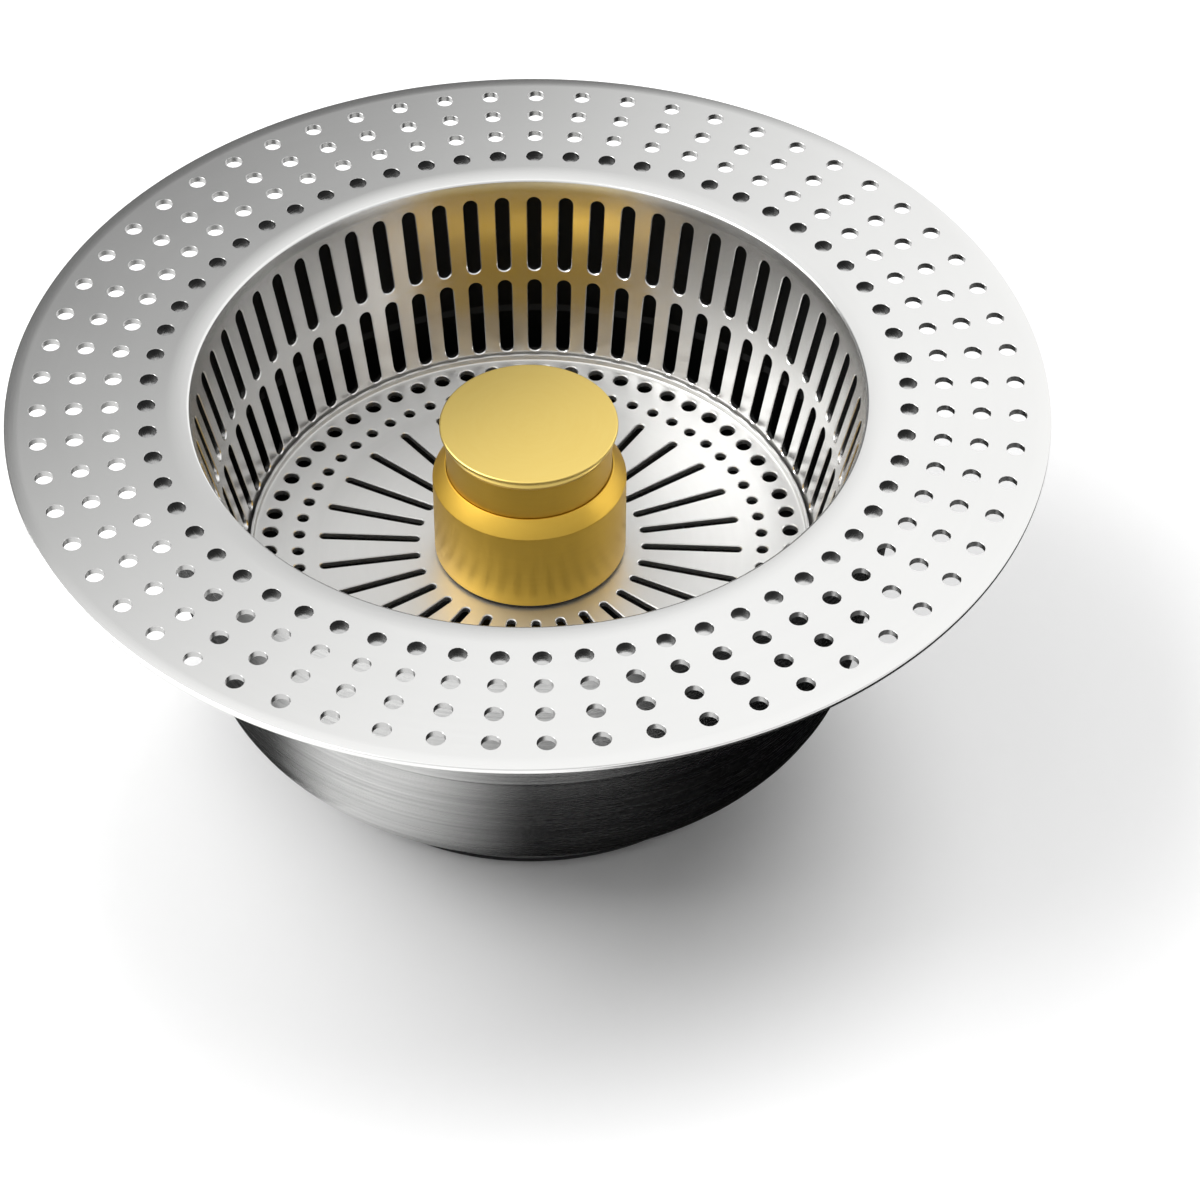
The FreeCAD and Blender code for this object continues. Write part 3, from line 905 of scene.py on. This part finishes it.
class PolarCopies(ShapeTree):
    """Repeats one sector evenly round the upright axis and welds the seams."""

    def __init__(self) -> None:
        """Builds the tree."""
        super().__init__("polar_copies", {
            "Count": "NodeSocketInt", "First Angle": "NodeSocketFloat", "Material": "NodeSocketMaterial"})
        index = Field(self, self.node("GeometryNodeInputIndex").outputs[0])
        angle = index * FULL_TURN / self.value("Count") + self.value("First Angle")
        turn = self.node("FunctionNodeEulerToRotation", {0: self.vector(0.0, 0.0, angle)})
        points = self.node("GeometryNodePoints", {"Count": self.value("Count")})
        copies = self.node("GeometryNodeInstanceOnPoints", {
            "Points": points.outputs[0], "Instance": self.given["Geometry"], "Rotation": turn.outputs[0]})
        welded = self.node("GeometryNodeMergeByDistance", {
            "Geometry": self.node("GeometryNodeRealizeInstances", {0: copies.outputs[0]}).outputs[0],
            "Distance": MERGE})
        dressed = self.node("GeometryNodeSetMaterial", {
            "Geometry": welded.outputs[0], "Material": self.given["Material"]})
        self.node("NodeGroupOutput", {0: dressed.outputs[0]})


class CoilTree(ShapeTree):
    """Winds a round wire into a coil on the upright axis."""

    TURN_SPANS = 48
    WIRE_SPANS = 12

    def __init__(self) -> None:
        """Builds the tree."""
        super().__init__("wound_coil", {
            "Turns": "NodeSocketFloat", "Radius": "NodeSocketFloat", "Height": "NodeSocketFloat",
            "Wire": "NodeSocketFloat", "Low": "NodeSocketFloat", "Material": "NodeSocketMaterial"})
        radius = self.value("Radius")
        path = self.node("GeometryNodeCurveSpiral", {
            "Resolution": self.TURN_SPANS, "Rotations": self.value("Turns"), "Start Radius": radius,
            "End Radius": radius, "Height": self.value("Height")})
        section = self.node("GeometryNodeCurvePrimitiveCircle", {
            "Resolution": self.WIRE_SPANS, "Radius": self.value("Wire")})
        wire = self.node("GeometryNodeCurveToMesh", {
            "Curve": path.outputs[0], "Profile Curve": section.outputs[0], "Fill Caps": True})
        lifted = self.node("GeometryNodeTransform", {
            "Geometry": wire.outputs[0], "Translation": self.vector(0.0, 0.0, self.value("Low"))})
        real = self.node("GeometryNodeRealizeInstances", {0: lifted.outputs[0]})
        dressed = self.node("GeometryNodeSetMaterial", {
            "Geometry": real.outputs[0], "Material": self.given["Material"]})
        self.node("NodeGroupOutput", {0: dressed.outputs[0]})


# Sub-assemblies


@dataclass
class Basket:
    """Perforated flange, slotted wall and drilled floor of the lift-out basket."""

    columns: int = 61
    column_angle: float = math.radians(90.0)
    sheet: float = 0.7
    hole: float = 2.0
    hole_bevel: float = 0.02
    # Painted shade on the flange's hole walls: full in the inner ring, less in the outer rings
    inner_hole_shade: float = 1.0
    outer_hole_shade: float = 0.4
    ring_inset: float = 3.6
    ring_pitch: float = 3.93
    rings: int = 4
    mouth: float = 37.0
    mouth_round: float = 0.3
    mouth_steps: int = 6
    edge_steps: int = 4
    wall_sheet: float = 0.6
    wall_draft: float = 5.0
    slot_width: float = 1.6
    slot_top: float = 2.1
    slot_length: float = 9.5
    slot_bridge: float = 1.0
    ledge: float = 1.0
    floor_cells: int = 30
    floor_angle: float = math.radians(-2.3)
    floor_flat: float = 25.0
    floor_rise: float = 0.4
    floor_rim: float = 0.7
    floor_bore: float = 6.02
    outer_hole: Point = (29.7, 1.8)
    inner_hole: Point = (26.4, 1.3)
    floor_slot: Corner = (12.7, 24.1, 1.0)
    slot_margins: Point = (0.5, 0.4)
    across: int = 4

    def __post_init__(self) -> None:
        """Reads the levels from the frame."""
        flange = NodeSize.of("flange_plate")
        floor = NodeSize.of("basket_floor")
        self.top, self.radius, self.lip_end = flange.high, flange.radius, flange.low
        self.floor_under = floor.low
        self.floor_top = floor.low + self.sheet
        self.brim_top = self.floor_top + self.floor_rise
        self.taper = self.wall_draft / (self.top - self.brim_top)
        self.half = math.pi / self.columns

    def inside(self, height: float) -> float:
        """Inner radius of the wall at a height."""
        return self.mouth - self.taper * (self.top - height)

    def outside(self, height: float) -> float:
        """Outer radius of the wall at a height."""
        return self.inside(height) + self.wall_sheet

    def flange_cell(self) -> SheetCell:
        """Makes one column of the flange, with the rolled mouth and the outer edge.

        Returns:
            The sector.
        """
        cell = SheetCell()
        under = self.top - self.sheet
        ring_radii = [self.radius - self.ring_inset - ring * self.ring_pitch
                      for ring in range(self.rings)][::-1]
        edges = [radius - self.ring_pitch / 2.0 for radius in ring_radii]
        edges.append(ring_radii[-1] + self.ring_pitch / 2.0)
        for low, high in zip(edges, edges[1:]):
            # The inner ring's hole walls take the fuller painted shade
            mark = self.inner_hole_shade if low == edges[0] else self.outer_hole_shade
            cell.pierced(Station((low, self.top), (low, under)), Station((high, self.top), (high, under)),
                         Hole(self.hole, self.hole, self.hole_bevel, mark), 0.0, self.half, self.across)
        lip = rounded([(edges[0], self.top, SHARP), (self.mouth, self.top, self.mouth_round),
                       (self.inside(self.lip_end), self.lip_end, SHARP),
                       (self.outside(self.lip_end), self.lip_end, SHARP),
                       (self.outside(under), under, EDGE), (edges[0], under, SHARP)], self.mouth_steps)
        rim = rounded([(edges[-1], self.top, SHARP), (self.radius, self.top, EDGE),
                       (self.radius, under, EDGE), (edges[-1], under, SHARP)], self.edge_steps)
        cell.strip(lip, 0.0, self.half, self.across)
        cell.strip(rim, 0.0, self.half, self.across)
        return cell

    def wall_cell(self) -> SheetCell:
        """Makes one column of the wall, with its two slots and the ledge under the floor.

        Returns:
            The sector.
        """
        cell = SheetCell()
        brim_under = self.brim_top - self.sheet
        ledge_low = brim_under - self.wall_sheet
        first = self.top - self.slot_top - self.slot_length / 2.0
        pitch = self.slot_length + self.slot_bridge
        heights = [first + pitch / 2.0, first - pitch / 2.0, first - pitch * 1.5]
        steps = [Station((self.inside(height), height), (self.outside(height), height)) for height in heights]
        slot = Hole(self.slot_width, self.slot_length)
        for low, high in zip(steps, steps[1:]):
            cell.pierced(low, high, slot, 0.0, self.half, self.across)
        cell.strip([steps[0].face, (self.inside(self.lip_end), self.lip_end),
                    (self.outside(self.lip_end), self.lip_end), steps[0].back], 0.0, self.half, self.across)
        ledge = self.inside(brim_under) - self.ledge
        foot = rounded([(*steps[-1].face, SHARP), (self.inside(brim_under), brim_under, SHARP),
                        (ledge, brim_under, SHARP), (ledge, ledge_low, SHARP),
                        (self.outside(ledge_low), ledge_low, self.wall_sheet), (*steps[-1].back, SHARP)],
                       self.edge_steps)
        cell.strip(foot, 0.0, self.half, self.across)
        return cell

    def floor_cell(self) -> SheetCell:
        """Makes one sector of the floor: a radial slot and two holes of each ring.

        Returns:
            The sector.
        """
        cell = SheetCell()
        half = math.pi / self.floor_cells
        across = self.across * 2
        brim_under = self.brim_top - self.sheet
        brim = self.inside(brim_under) - SEAT_GAP
        brim_face = brim - self.sheet / 2.0
        brim_end = self.brim_top + self.floor_rim
        cone_end = self.inside(brim_under) - self.ledge

        def step(radius: float) -> Station:
            """Finds the floor's section.

            Args:
                radius: how far from the axis.

            Returns:
                The step there.
            """
            share = min(1.0, max(0.0, (radius - self.floor_flat) / (cone_end - self.floor_flat)))
            return Station((radius, self.floor_top + share * self.floor_rise),
                           (radius, self.floor_under + share * self.floor_rise))

        start, end, width = self.floor_slot
        low, high = step(start - self.slot_margins[0]), step(end + self.slot_margins[1])
        flat, last = step(self.floor_flat), step(cone_end)
        cell.pierced(low, high, Hole(width, end - start), 0.0, half, across)
        cell.strip([high.face, flat.face], 0.0, half, across)
        cell.strip([high.back, flat.back], 0.0, half, across)
        cell.strip([low.face, (self.floor_bore, self.floor_top), (self.floor_bore, self.floor_under), low.back],
                   0.0, half, across)
        inner, outer = self.inner_hole, self.outer_hole
        middle = step((inner[0] + outer[0]) / 2.0)
        rim = rounded([(cone_end, self.brim_top, SHARP), (brim_face, self.brim_top, EDGE),
                       (brim_face, brim_end, FINE), (brim, brim_end, FINE), (brim, brim_under, EDGE),
                       (cone_end, brim_under, SHARP)], self.edge_steps)
        for side in (0.0, half):
            for first, second, (radius, size) in ((flat, middle, inner), (middle, last, outer)):
                centre = (radius - first.face[0]) / (second.face[0] - first.face[0])
                cell.pierced(first, second, Hole(size, size), side, half / 2.0, self.across, centre)
            cell.strip(rim, side, half / 2.0, self.across)
        return cell

    def build(self, shop: Workshop) -> None:
        """Makes the three sheets and puts them in place.

        Args:
            shop: the workshop that finishes and places them.
        """
        copies = PolarCopies()
        for node, cell, count, angle, kind in (
            ("flange_plate", self.flange_cell(), self.columns, self.column_angle, Finish.FLANGE),
            ("basket_wall", self.wall_cell(), self.columns, self.column_angle, Finish.WALL),
            ("basket_floor", self.floor_cell(), self.floor_cells, self.floor_angle, Finish.FLOOR),
        ):
            material = shop.finish(kind)
            mesh = copies.bake(node + "_sheet", cell.mesh(node + "_cell"), {
                "Count": count, "First Angle": angle, "Material": material})
            shop.place(finished(node + "_sheet", mesh, material), node)


@dataclass
class Cup:
    """Drawn outer cup with its foot ring and gasket."""

    sheet: float = 0.7
    top_radius: float = 41.9
    lip_width: float = 1.7
    lip_round: float = 0.35
    rim_inside: float = 39.3
    band_depth: float = 20.6
    band_foot: float = 40.0
    step: float = 0.45
    step_height: float = 0.6
    foot_radius: float = 36.8
    corner: float = 10.2
    outlet: float = 20.0
    seat_radius: float = 27.3
    seat_plate: float = 1.4
    seat_round: float = 0.8
    ring_wall: float = 1.6
    foot_land: float = 0.35
    foot_flare: float = 0.6

    def build(self, shop: Workshop) -> None:
        """Makes the cup, the foot ring and the gasket and puts them in place.

        Args:
            shop: the workshop that finishes and places them.
        """
        cup, ring, gasket = (NodeSize.of(node) for node in ("outer_cup", "foot_ring", "foot_gasket"))
        top, under = cup.high, cup.low
        lip_under = top - self.sheet
        seat = under + self.sheet
        bore = self.seat_radius + SEAT_GAP
        band_low = NodeSize.of("flange_plate").high - self.band_depth
        step_low = band_low - self.step_height
        lower = self.band_foot - self.step
        taper = (lower - self.foot_radius) / (step_low - under)
        inner_foot = self.foot_radius + taper * self.sheet - self.sheet
        lip = self.top_radius + self.lip_width
        # The cup's inward and upward faces under its lip are painted near-black: painted shade inside the cup
        shop.turn("outer_cup", "outer_cup_shell", Finish.CUP, [
            (lip, top, EDGE), (lip, lip_under, EDGE), (self.top_radius, lip_under, self.lip_round),
            (self.band_foot, band_low, EDGE), (lower, step_low, EDGE), (self.foot_radius, under, self.corner),
            (bore, under, SHARP), (bore, seat, SHARP), (inner_foot, seat, self.corner - self.sheet),
            (lower - self.sheet, step_low, EDGE), (self.band_foot - self.sheet, band_low, EDGE),
            (self.top_radius - self.sheet, lip_under, FINE), (self.rim_inside, lip_under, EDGE),
            (self.rim_inside, top, EDGE),
        ], segments=192, steps=12, painted_shade_under=top - self.sheet / 2.0)
        inner = ring.radius - self.ring_wall
        waist = ring.radius - self.foot_flare
        land = ring.low + self.foot_land
        plate_under = ring.high - self.seat_plate
        shop.turn("foot_ring", "foot_ring_turned", Finish.FOOT, [
            (ring.radius, ring.low, FINE), (ring.radius, land, FINE), (waist, land + self.foot_flare, SOFT),
            (waist, under, EDGE), (self.seat_radius, under, SHARP), (self.seat_radius, ring.high, SHARP),
            (self.outlet, ring.high, self.seat_round), (self.outlet, plate_under, EDGE),
            (inner, plate_under, EDGE), (inner, ring.low, SOFT),
        ], segments=160)
        gasket_bore = inner + ring.radius - gasket.radius
        shop.turn("foot_gasket", "foot_gasket_ring", Finish.RUBBER, [
            (gasket.radius, gasket.low, SOFT), (gasket.radius, gasket.high, FINE),
            (gasket_bore, gasket.high, FINE), (gasket_bore, gasket.low, SOFT),
        ], segments=160)


@dataclass
class Core:
    """Brass sleeve and push knob in the middle of the basket, with the washer under the sleeve."""

    bore: float = 9.33
    land: float = 0.12
    chamfer: float = 1.8
    web_top: float = 25.94
    housing_low: float = 23.2
    tail_bore: float = 4.4
    tail_radius: float = 6.0
    stud: float = 1.5
    thread_gap: float = 0.05
    cap_height: float = 1.7
    cap_edge: float = 0.5
    cap_rim_round: float = 0.12
    cap_steps: int = 7
    cap_lip: float = 0.12
    lip_height: float = 0.35
    cap_groove: float = 0.15
    neck_bore: float = 7.75
    neck_web: float = 1.3
    seal_wire: float = 0.4
    seal_round_share: float = 0.99
    seal_rise: float = 1.6
    running_gap: float = 0.08

    def build(self, shop: Workshop) -> None:
        """Makes the sleeve, cap, neck, seal and washer and puts them in place.

        Args:
            shop: the workshop that finishes and places them.
        """
        body, cap, neck = (NodeSize.of(node) for node in ("core_housing", "knob_cap", "knob_neck"))
        shop.turn("core_housing", "core_sleeve", Finish.SHADED_BRASS, [
            (body.radius, self.housing_low, SOFT), (body.radius, body.high - self.chamfer, EDGE),
            (self.bore + self.land, body.high, CRISP), (self.bore, body.high, SHARP),
            (self.bore, self.web_top, SHARP), (self.tail_bore, self.web_top, EDGE),
            (self.tail_bore, body.low, EDGE), (self.tail_radius, body.low, FULL),
            (self.tail_radius, self.housing_low, SHARP),
        ])
        cap_low, rim_low = cap.high - self.cap_height, cap.high - self.cap_edge
        groove = neck.radius - self.cap_groove
        shop.turn("knob_cap", "knob_cap_turned", Finish.LIT_CAP_BRASS, [
            (0.0, cap.high, SHARP), (0.0, cap.low, SHARP), (self.stud, cap.low, EDGE),
            (self.stud, cap_low, SHARP), (neck.radius, cap_low, CRISP),
            (neck.radius + self.cap_lip, cap_low + self.lip_height, CRISP),
            (groove, cap_low + self.lip_height * 2.0, CRISP), (groove, rim_low, CRISP),
            (cap.radius, rim_low, self.cap_rim_round), (cap.radius, cap.high, EDGE),
        ], steps=self.cap_steps)
        level = neck.low + self.seal_rise
        groove = neck.radius - self.seal_wire * 2.0
        half = self.seal_wire + self.running_gap
        stud_bore, web_low = self.stud + self.thread_gap, neck.high - self.neck_web
        shop.turn("knob_neck", "knob_neck_turned", Finish.SHADED_BRASS, [
            (neck.radius, neck.high, SHARP), (stud_bore, neck.high, SHARP), (stud_bore, web_low, SHARP),
            (self.neck_bore, web_low, EDGE), (self.neck_bore, neck.low, FINE), (neck.radius, neck.low, EDGE),
            (neck.radius, level - half, SHARP), (groove, level - half, SHARP), (groove, level + half, SHARP),
            (neck.radius, level + half, SHARP),
        ])
        middle = neck.radius + self.running_gap / 2.0 - self.seal_wire
        wire, bend = self.seal_wire, self.seal_wire * self.seal_round_share
        shop.turn("neck_seal", "neck_seal_ring", Finish.RUBBER, [
            (middle + wire, level - wire, bend), (middle + wire, level + wire, bend),
            (middle - wire, level + wire, bend), (middle - wire, level - wire, bend),
        ], segments=96)
        washer, washer_bore = NodeSize.of("core_gasket"), self.tail_radius + SEAT_GAP
        shop.turn("core_gasket", "core_washer", Finish.RUBBER, [
            (washer.radius, washer.low, FINE), (washer.radius, washer.high, FINE),
            (washer_bore, washer.high, SHARP), (washer_bore, washer.low, SHARP),
        ])


@dataclass
class Stopper:
    """Stem, stopper disc and clamp under the basket's floor."""

    spigot: float = 1.92
    plate_sheet: float = 0.9
    retainer_bore: float = 1.27
    lip_height: float = 0.5
    lip_width: float = 2.2
    bush_bore: float = 2.58
    bush_body: float = 4.38
    bush_flange_height: float = 0.8
    tail_radius: float = 6.02

    def build(self, shop: Workshop) -> None:
        """Makes the turned pieces and dresses those that keep their shape.

        Args:
            shop: the workshop that finishes and places them.
        """
        plate, gasket, retainer = (NodeSize.of(node) for node in (
            "stopper_plate", "stopper_gasket", "gasket_retainer"))
        bush, washer = NodeSize.of("stem_bush"), NodeSize.of("clamp_washer")
        inner_rim = plate.radius - self.plate_sheet
        plate_top = plate.low + self.plate_sheet
        # The disc's upward and inward faces are painted near-black: painted shade under the basket's floor
        shop.turn("stopper_plate", "stopper_disc", Finish.CUP, [
            (self.spigot, plate.low, SHARP), (plate.radius, plate.low, EDGE), (plate.radius, plate.high, EDGE),
            (inner_rim, plate.high, EDGE), (inner_rim, plate_top, EDGE), (self.spigot, plate_top, SHARP),
        ], painted_shade_under=plate.high + EDGE)
        face = gasket.low + self.lip_height
        lip = gasket.radius - self.lip_width
        shop.turn("stopper_gasket", "stopper_seal", Finish.RUBBER, [
            (self.spigot, gasket.low, SHARP), (retainer.radius, gasket.low, FINE),
            (retainer.radius + self.lip_height, face, EDGE), (lip - self.lip_height, face, EDGE),
            (lip, gasket.low, EDGE), (gasket.radius, gasket.low, FULL), (gasket.radius, gasket.high, FULL),
            (self.spigot, gasket.high, SHARP),
        ])
        shop.turn("gasket_retainer", "stopper_retainer", Finish.CUP, [
            (self.retainer_bore, retainer.low, SHARP), (retainer.radius, retainer.low, EDGE),
            (retainer.radius, retainer.high, FINE), (self.retainer_bore, retainer.high, SHARP),
        ])
        flange_top = bush.low + self.bush_flange_height
        shop.turn("stem_bush", "stem_guide_bush", Finish.PLASTIC, [
            (self.bush_bore, bush.low, FINE), (bush.radius, bush.low, EDGE), (bush.radius, flange_top, FINE),
            (self.bush_body, flange_top, SHARP), (self.bush_body, bush.high, EDGE),
            (self.bush_bore, bush.high, FINE),
        ], segments=96)
        shop.turn("clamp_washer", "clamp_washer_flat", Finish.TURNED, [
            (self.tail_radius, washer.low, SHARP), (washer.radius, washer.low, EDGE),
            (washer.radius, washer.high, EDGE), (self.tail_radius, washer.high, SHARP),
        ], segments=128)
        for node in ("stem", "stop_clip", "stopper_screw"):
            shop.dress(node, Finish.TURNED)
        shop.dress("clamp_nut", Finish.SHADED_BRASS)


@dataclass
class Latch:
    """Click latch inside the core: drum, guide sleeve, pins, washer and return spring."""

    wire: float = 0.8
    turns: float = 5.0
    press: float = 4.0

    def build(self, shop: Workshop) -> None:
        """Winds the spring and dresses the sealed pieces.

        Args:
            shop: the workshop that finishes and places them.
        """
        spring = NodeSize.of("return_spring")
        material = shop.finish(Finish.WIRE)
        length, radius = spring.high - spring.low, self.wire / 2.0
        mesh = CoilTree().bake("return_spring_coil", bpy.data.meshes.new("coil_start"), {
            "Turns": self.turns, "Radius": (spring.radius - radius) * MM, "Height": (length - self.wire) * MM,
            "Wire": radius * MM, "Low": (spring.low + radius) * MM, "Material": material})
        coil = finished("return_spring_coil", mesh, material)
        shop.place(coil, "return_spring")
        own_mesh(coil)
        shop.dress("click_drum", Finish.PLASTIC)
        shop.dress("guide_sleeve", Finish.SHADED_BRASS)
        for node in ("guide_pins", "drum_washer"):
            shop.dress(node, Finish.TURNED)


# Studio


def lay(name: str, sides: Sides, level: float, material: bpy.types.Material) -> bpy.types.Object:
    """Lays a flat card of the stage.

    Args:
        name: the card's name.
        sides: its left, right, near and far sides.
        level: its height.
        material: what it is made of.

    Returns:
        The card, linked to the scene.
    """
    left, right, near, far = sides
    mesh = bpy.data.meshes.new(name)
    mesh.from_pydata([(left, near, 0), (right, near, 0), (right, far, 0), (left, far, 0)], [], [(0, 1, 2, 3)])
    mesh.materials.append(material)
    card = bpy.data.objects.new(name, mesh)
    card.location.z = level
    bpy.context.scene.collection.objects.link(card)
    return card


@dataclass(frozen=True)
class Lamp:
    """A soft square lamp that looks at the strainer."""

    name: str = "key_softbox"
    azimuth: float = math.radians(176.5)
    elevation: float = math.radians(49.3)
    distance: float = 1.6
    size: float = 1.24
    level: float = 0.83
    target: Corner = (0.0, 0.0, 0.03)

    def build(self) -> None:
        """Hangs the lamp."""
        data = bpy.data.lights.new(self.name, "AREA")
        data.shape = "SQUARE"
        data.size = self.size
        data.energy = self.level * math.pi ** 2 * self.distance ** 2
        lamp = bpy.data.objects.new(self.name, data)
        flat = math.cos(self.elevation)
        way = Vector((math.cos(self.azimuth) * flat, math.sin(self.azimuth) * flat, math.sin(self.elevation)))
        lamp.location = Vector(self.target) + way * self.distance
        lamp.rotation_euler = way.to_track_quat("Z", "Y").to_euler()
        bpy.context.scene.collection.objects.link(lamp)


@dataclass(frozen=True)
class ShadeCard:
    """A dark card on the floor that only reflections show, with faded edges: painted shade in the metal's
    reflections of the floor.
    """

    name: str
    sides: Sides
    reach: Point
    fade_x: Optional[Point] = None
    fade_y: Optional[Point] = None
    level: float = -0.00002
    share: float = 0.98
    # Colour of the painted shade that reflections show
    reflection_shade: Paint = (0.006, 0.006, 0.006, 1.0)

    def build(self) -> None:
        """Lays the card."""
        surface = Surface(self.name)
        clear = surface.node("ShaderNodeBsdfTransparent")
        reflection_shade = surface.node("ShaderNodeBsdfDiffuse", {"Color": self.reflection_shade})
        share = surface.radius.ramp(*self.reach) * self.share
        for place, fade in ((surface.x, self.fade_x), (surface.y, self.fade_y)):
            if fade:
                share = share * place.ramp(*fade)
        both = surface.node("ShaderNodeMixShader", {0: share, 1: clear.outputs[0], 2: reflection_shade.outputs[0]})
        surface.node("ShaderNodeOutputMaterial", {"Surface": both.outputs[0]})
        card = lay(self.name, self.sides, self.level, surface.material)
        # Hidden from the camera, diffuse light, glass and shadows, so the card only paints shade into
        # reflections
        card.visible_camera = card.visible_diffuse = card.visible_transmission = card.visible_shadow = False


@dataclass(frozen=True)
class Glow:
    """Light from one side of the surroundings, which fades with the angle from its middle."""

    way: Corner
    fade: Point
    level: float

    def field(self, tree: Tree) -> Field:
        """Adds the light's nodes.

        Args:
            tree: the world's tree.

        Returns:
            The light in each direction.
        """
        seen = tree.node("ShaderNodeTexCoord").outputs["Generated"]
        lean = tree.node("ShaderNodeVectorMath", {0: seen, 1: Vector(self.way).normalized()},
                         operation="DOT_PRODUCT")
        return Field(tree, lean.outputs["Value"]).ramp(*self.fade) * self.level


@dataclass
class Studio:
    """Camera, floor, lamp, surrounding light and dark cards that paint shade into reflections."""

    lens: float = 107.46
    sensor: float = 36.0
    clip: Point = (0.01, 20.0)
    view_elevation: float = math.radians(44.32)
    roll: float = math.radians(0.27)
    view_offset: Corner = (-0.1376, 0.4066, 6.8700)
    floor_sides: Sides = (-3.0, 3.0, -3.0, 3.0)
    floor_level: float = -0.00005
    paper: Paint = (0.94, 0.94, 0.94, 1.0)
    # The floor's glow is faint within glow_reach of glow_centre and strong beyond, so the floor round the foot
    # is darker: painted shade on top of the real shadow
    glow_centre: Point = (-0.012, -0.024)
    glow_reach: Point = (0.028, 0.067)
    glow_near: float = 0.02
    glow_far: float = 0.45
    # Dark cards right of, beyond and left of the strainer: painted shade in the reflections of the cup's sides
    # and the flange's edge
    shade_cards: tuple[ShadeCard, ...] = (
        ShadeCard("right_shade_card", (-0.030, 0.080, -0.080, 0.040), (0.066, 0.056), fade_x=(-0.026, 0.002)),
        ShadeCard("far_shade_card", (0.000, 0.150, -0.150, 0.060), (0.135, 0.112), fade_x=(0.008, 0.036), level=-0.00004),
        ShadeCard("left_shade_card", (-0.080, -0.026, -0.040, 0.040), (0.080, 0.064), fade_y=(-0.036, -0.020)),
    )
    dome: Glow = Glow((-0.443, 0.151, 0.884), (0.086, 0.725), 0.47)
    dome_base: float = 0.06
    gloss_base: float = 1.2
    gloss_shades: tuple[Glow, ...] = (
        Glow((-0.479, 0.872, 0.100), (0.70, 0.82), 1.02),
        Glow((0.500, -0.850, 0.150), (0.20, 0.95), 0.45),
    )

    def camera(self) -> None:
        """Sets the camera at the photograph's viewing angle."""
        flange = NodeSize.of("flange_plate")
        ahead = Vector((0.0, math.cos(self.view_elevation), -math.sin(self.view_elevation)))
        right = Vector((1.0, 0.0, 0.0))
        up = right.cross(ahead)
        across = right * math.cos(self.roll) + up * math.sin(self.roll)
        upward = up * math.cos(self.roll) - right * math.sin(self.roll)
        offset = self.view_offset
        place = -(across * offset[0] + upward * offset[1] + ahead * offset[2]) * flange.radius * MM
        data = bpy.data.cameras.new("camera")
        data.lens, data.sensor_width = self.lens, self.sensor
        data.clip_start, data.clip_end = self.clip
        camera = bpy.data.objects.new("camera", data)
        turn = Matrix((across, upward, -ahead)).transposed().to_4x4()
        camera.matrix_world = Matrix.Translation(place + Vector((0.0, 0.0, flange.high * MM))) @ turn
        bpy.context.scene.collection.objects.link(camera)
        bpy.context.scene.camera = camera

    def floor(self) -> None:
        """Lays the pale floor, which keeps the shadow; its glow fades out round the strainer, which paints
        shade round the foot.
        """
        surface = Surface("pale_floor")
        paper = surface.node("ShaderNodeBsdfDiffuse", {"Color": self.paper})
        # The glow grows with distance from glow_centre, so the floor round the foot stays darker: painted shade
        away_x, away_y = surface.x - self.glow_centre[0], surface.y - self.glow_centre[1]
        away = (away_x * away_x + away_y * away_y).root()
        glow = surface.node("ShaderNodeEmission", {
            "Color": WHITE, "Strength": away.ramp(*self.glow_reach) * self.glow_far + self.glow_near})
        lit = surface.node("ShaderNodeAddShader", {0: paper.outputs[0], 1: glow.outputs[0]})
        both = surface.node("ShaderNodeMixShader", {
            0: surface.shown(), 1: paper.outputs[0], 2: lit.outputs[0]})
        surface.node("ShaderNodeOutputMaterial", {"Surface": both.outputs[0]})
        lay("studio_floor", self.floor_sides, self.floor_level, surface.material)

    def surroundings(self) -> None:
        """Surrounds the scene with soft studio light, white where the camera sees it."""
        world = bpy.data.worlds.new("studio")
        world.use_nodes = True
        tree = Tree(world.node_tree)
        gloss: Any = self.gloss_base
        for shade in self.gloss_shades:
            gloss = gloss - shade.field(tree)
        soft, shown, white = (
            tree.node("ShaderNodeBackground", {"Color": WHITE, "Strength": strength}).outputs[0]
            for strength in (self.dome.field(tree) + self.dome_base, gloss, 1.0))
        lit = tree.node("ShaderNodeMixShader", {0: tree.shown(), 1: soft, 2: shown})
        ray = tree.node("ShaderNodeLightPath").outputs["Is Camera Ray"]
        both = tree.node("ShaderNodeMixShader", {0: ray, 1: lit.outputs[0], 2: white})
        tree.node("ShaderNodeOutputWorld", {"Surface": both.outputs[0]})
        bpy.context.scene.world = world

    def build(self) -> None:
        """Sets up the whole studio."""
        self.camera()
        self.floor()
        for shade_card in self.shade_cards:
            shade_card.build()
        self.surroundings()
        Lamp().build()
        bpy.context.scene.view_settings.view_transform = "Standard"


def main() -> None:
    """Builds the strainer's sub-assemblies in order."""
    logging.basicConfig(level=logging.INFO, format="%(name)s: %(message)s")
    Studio().build()
    shop = Workshop()
    for assembly in (Basket(), Cup(), Core(), Stopper(), Latch()):
        assembly.build(shop)


if __name__ == "__main__":
    main()
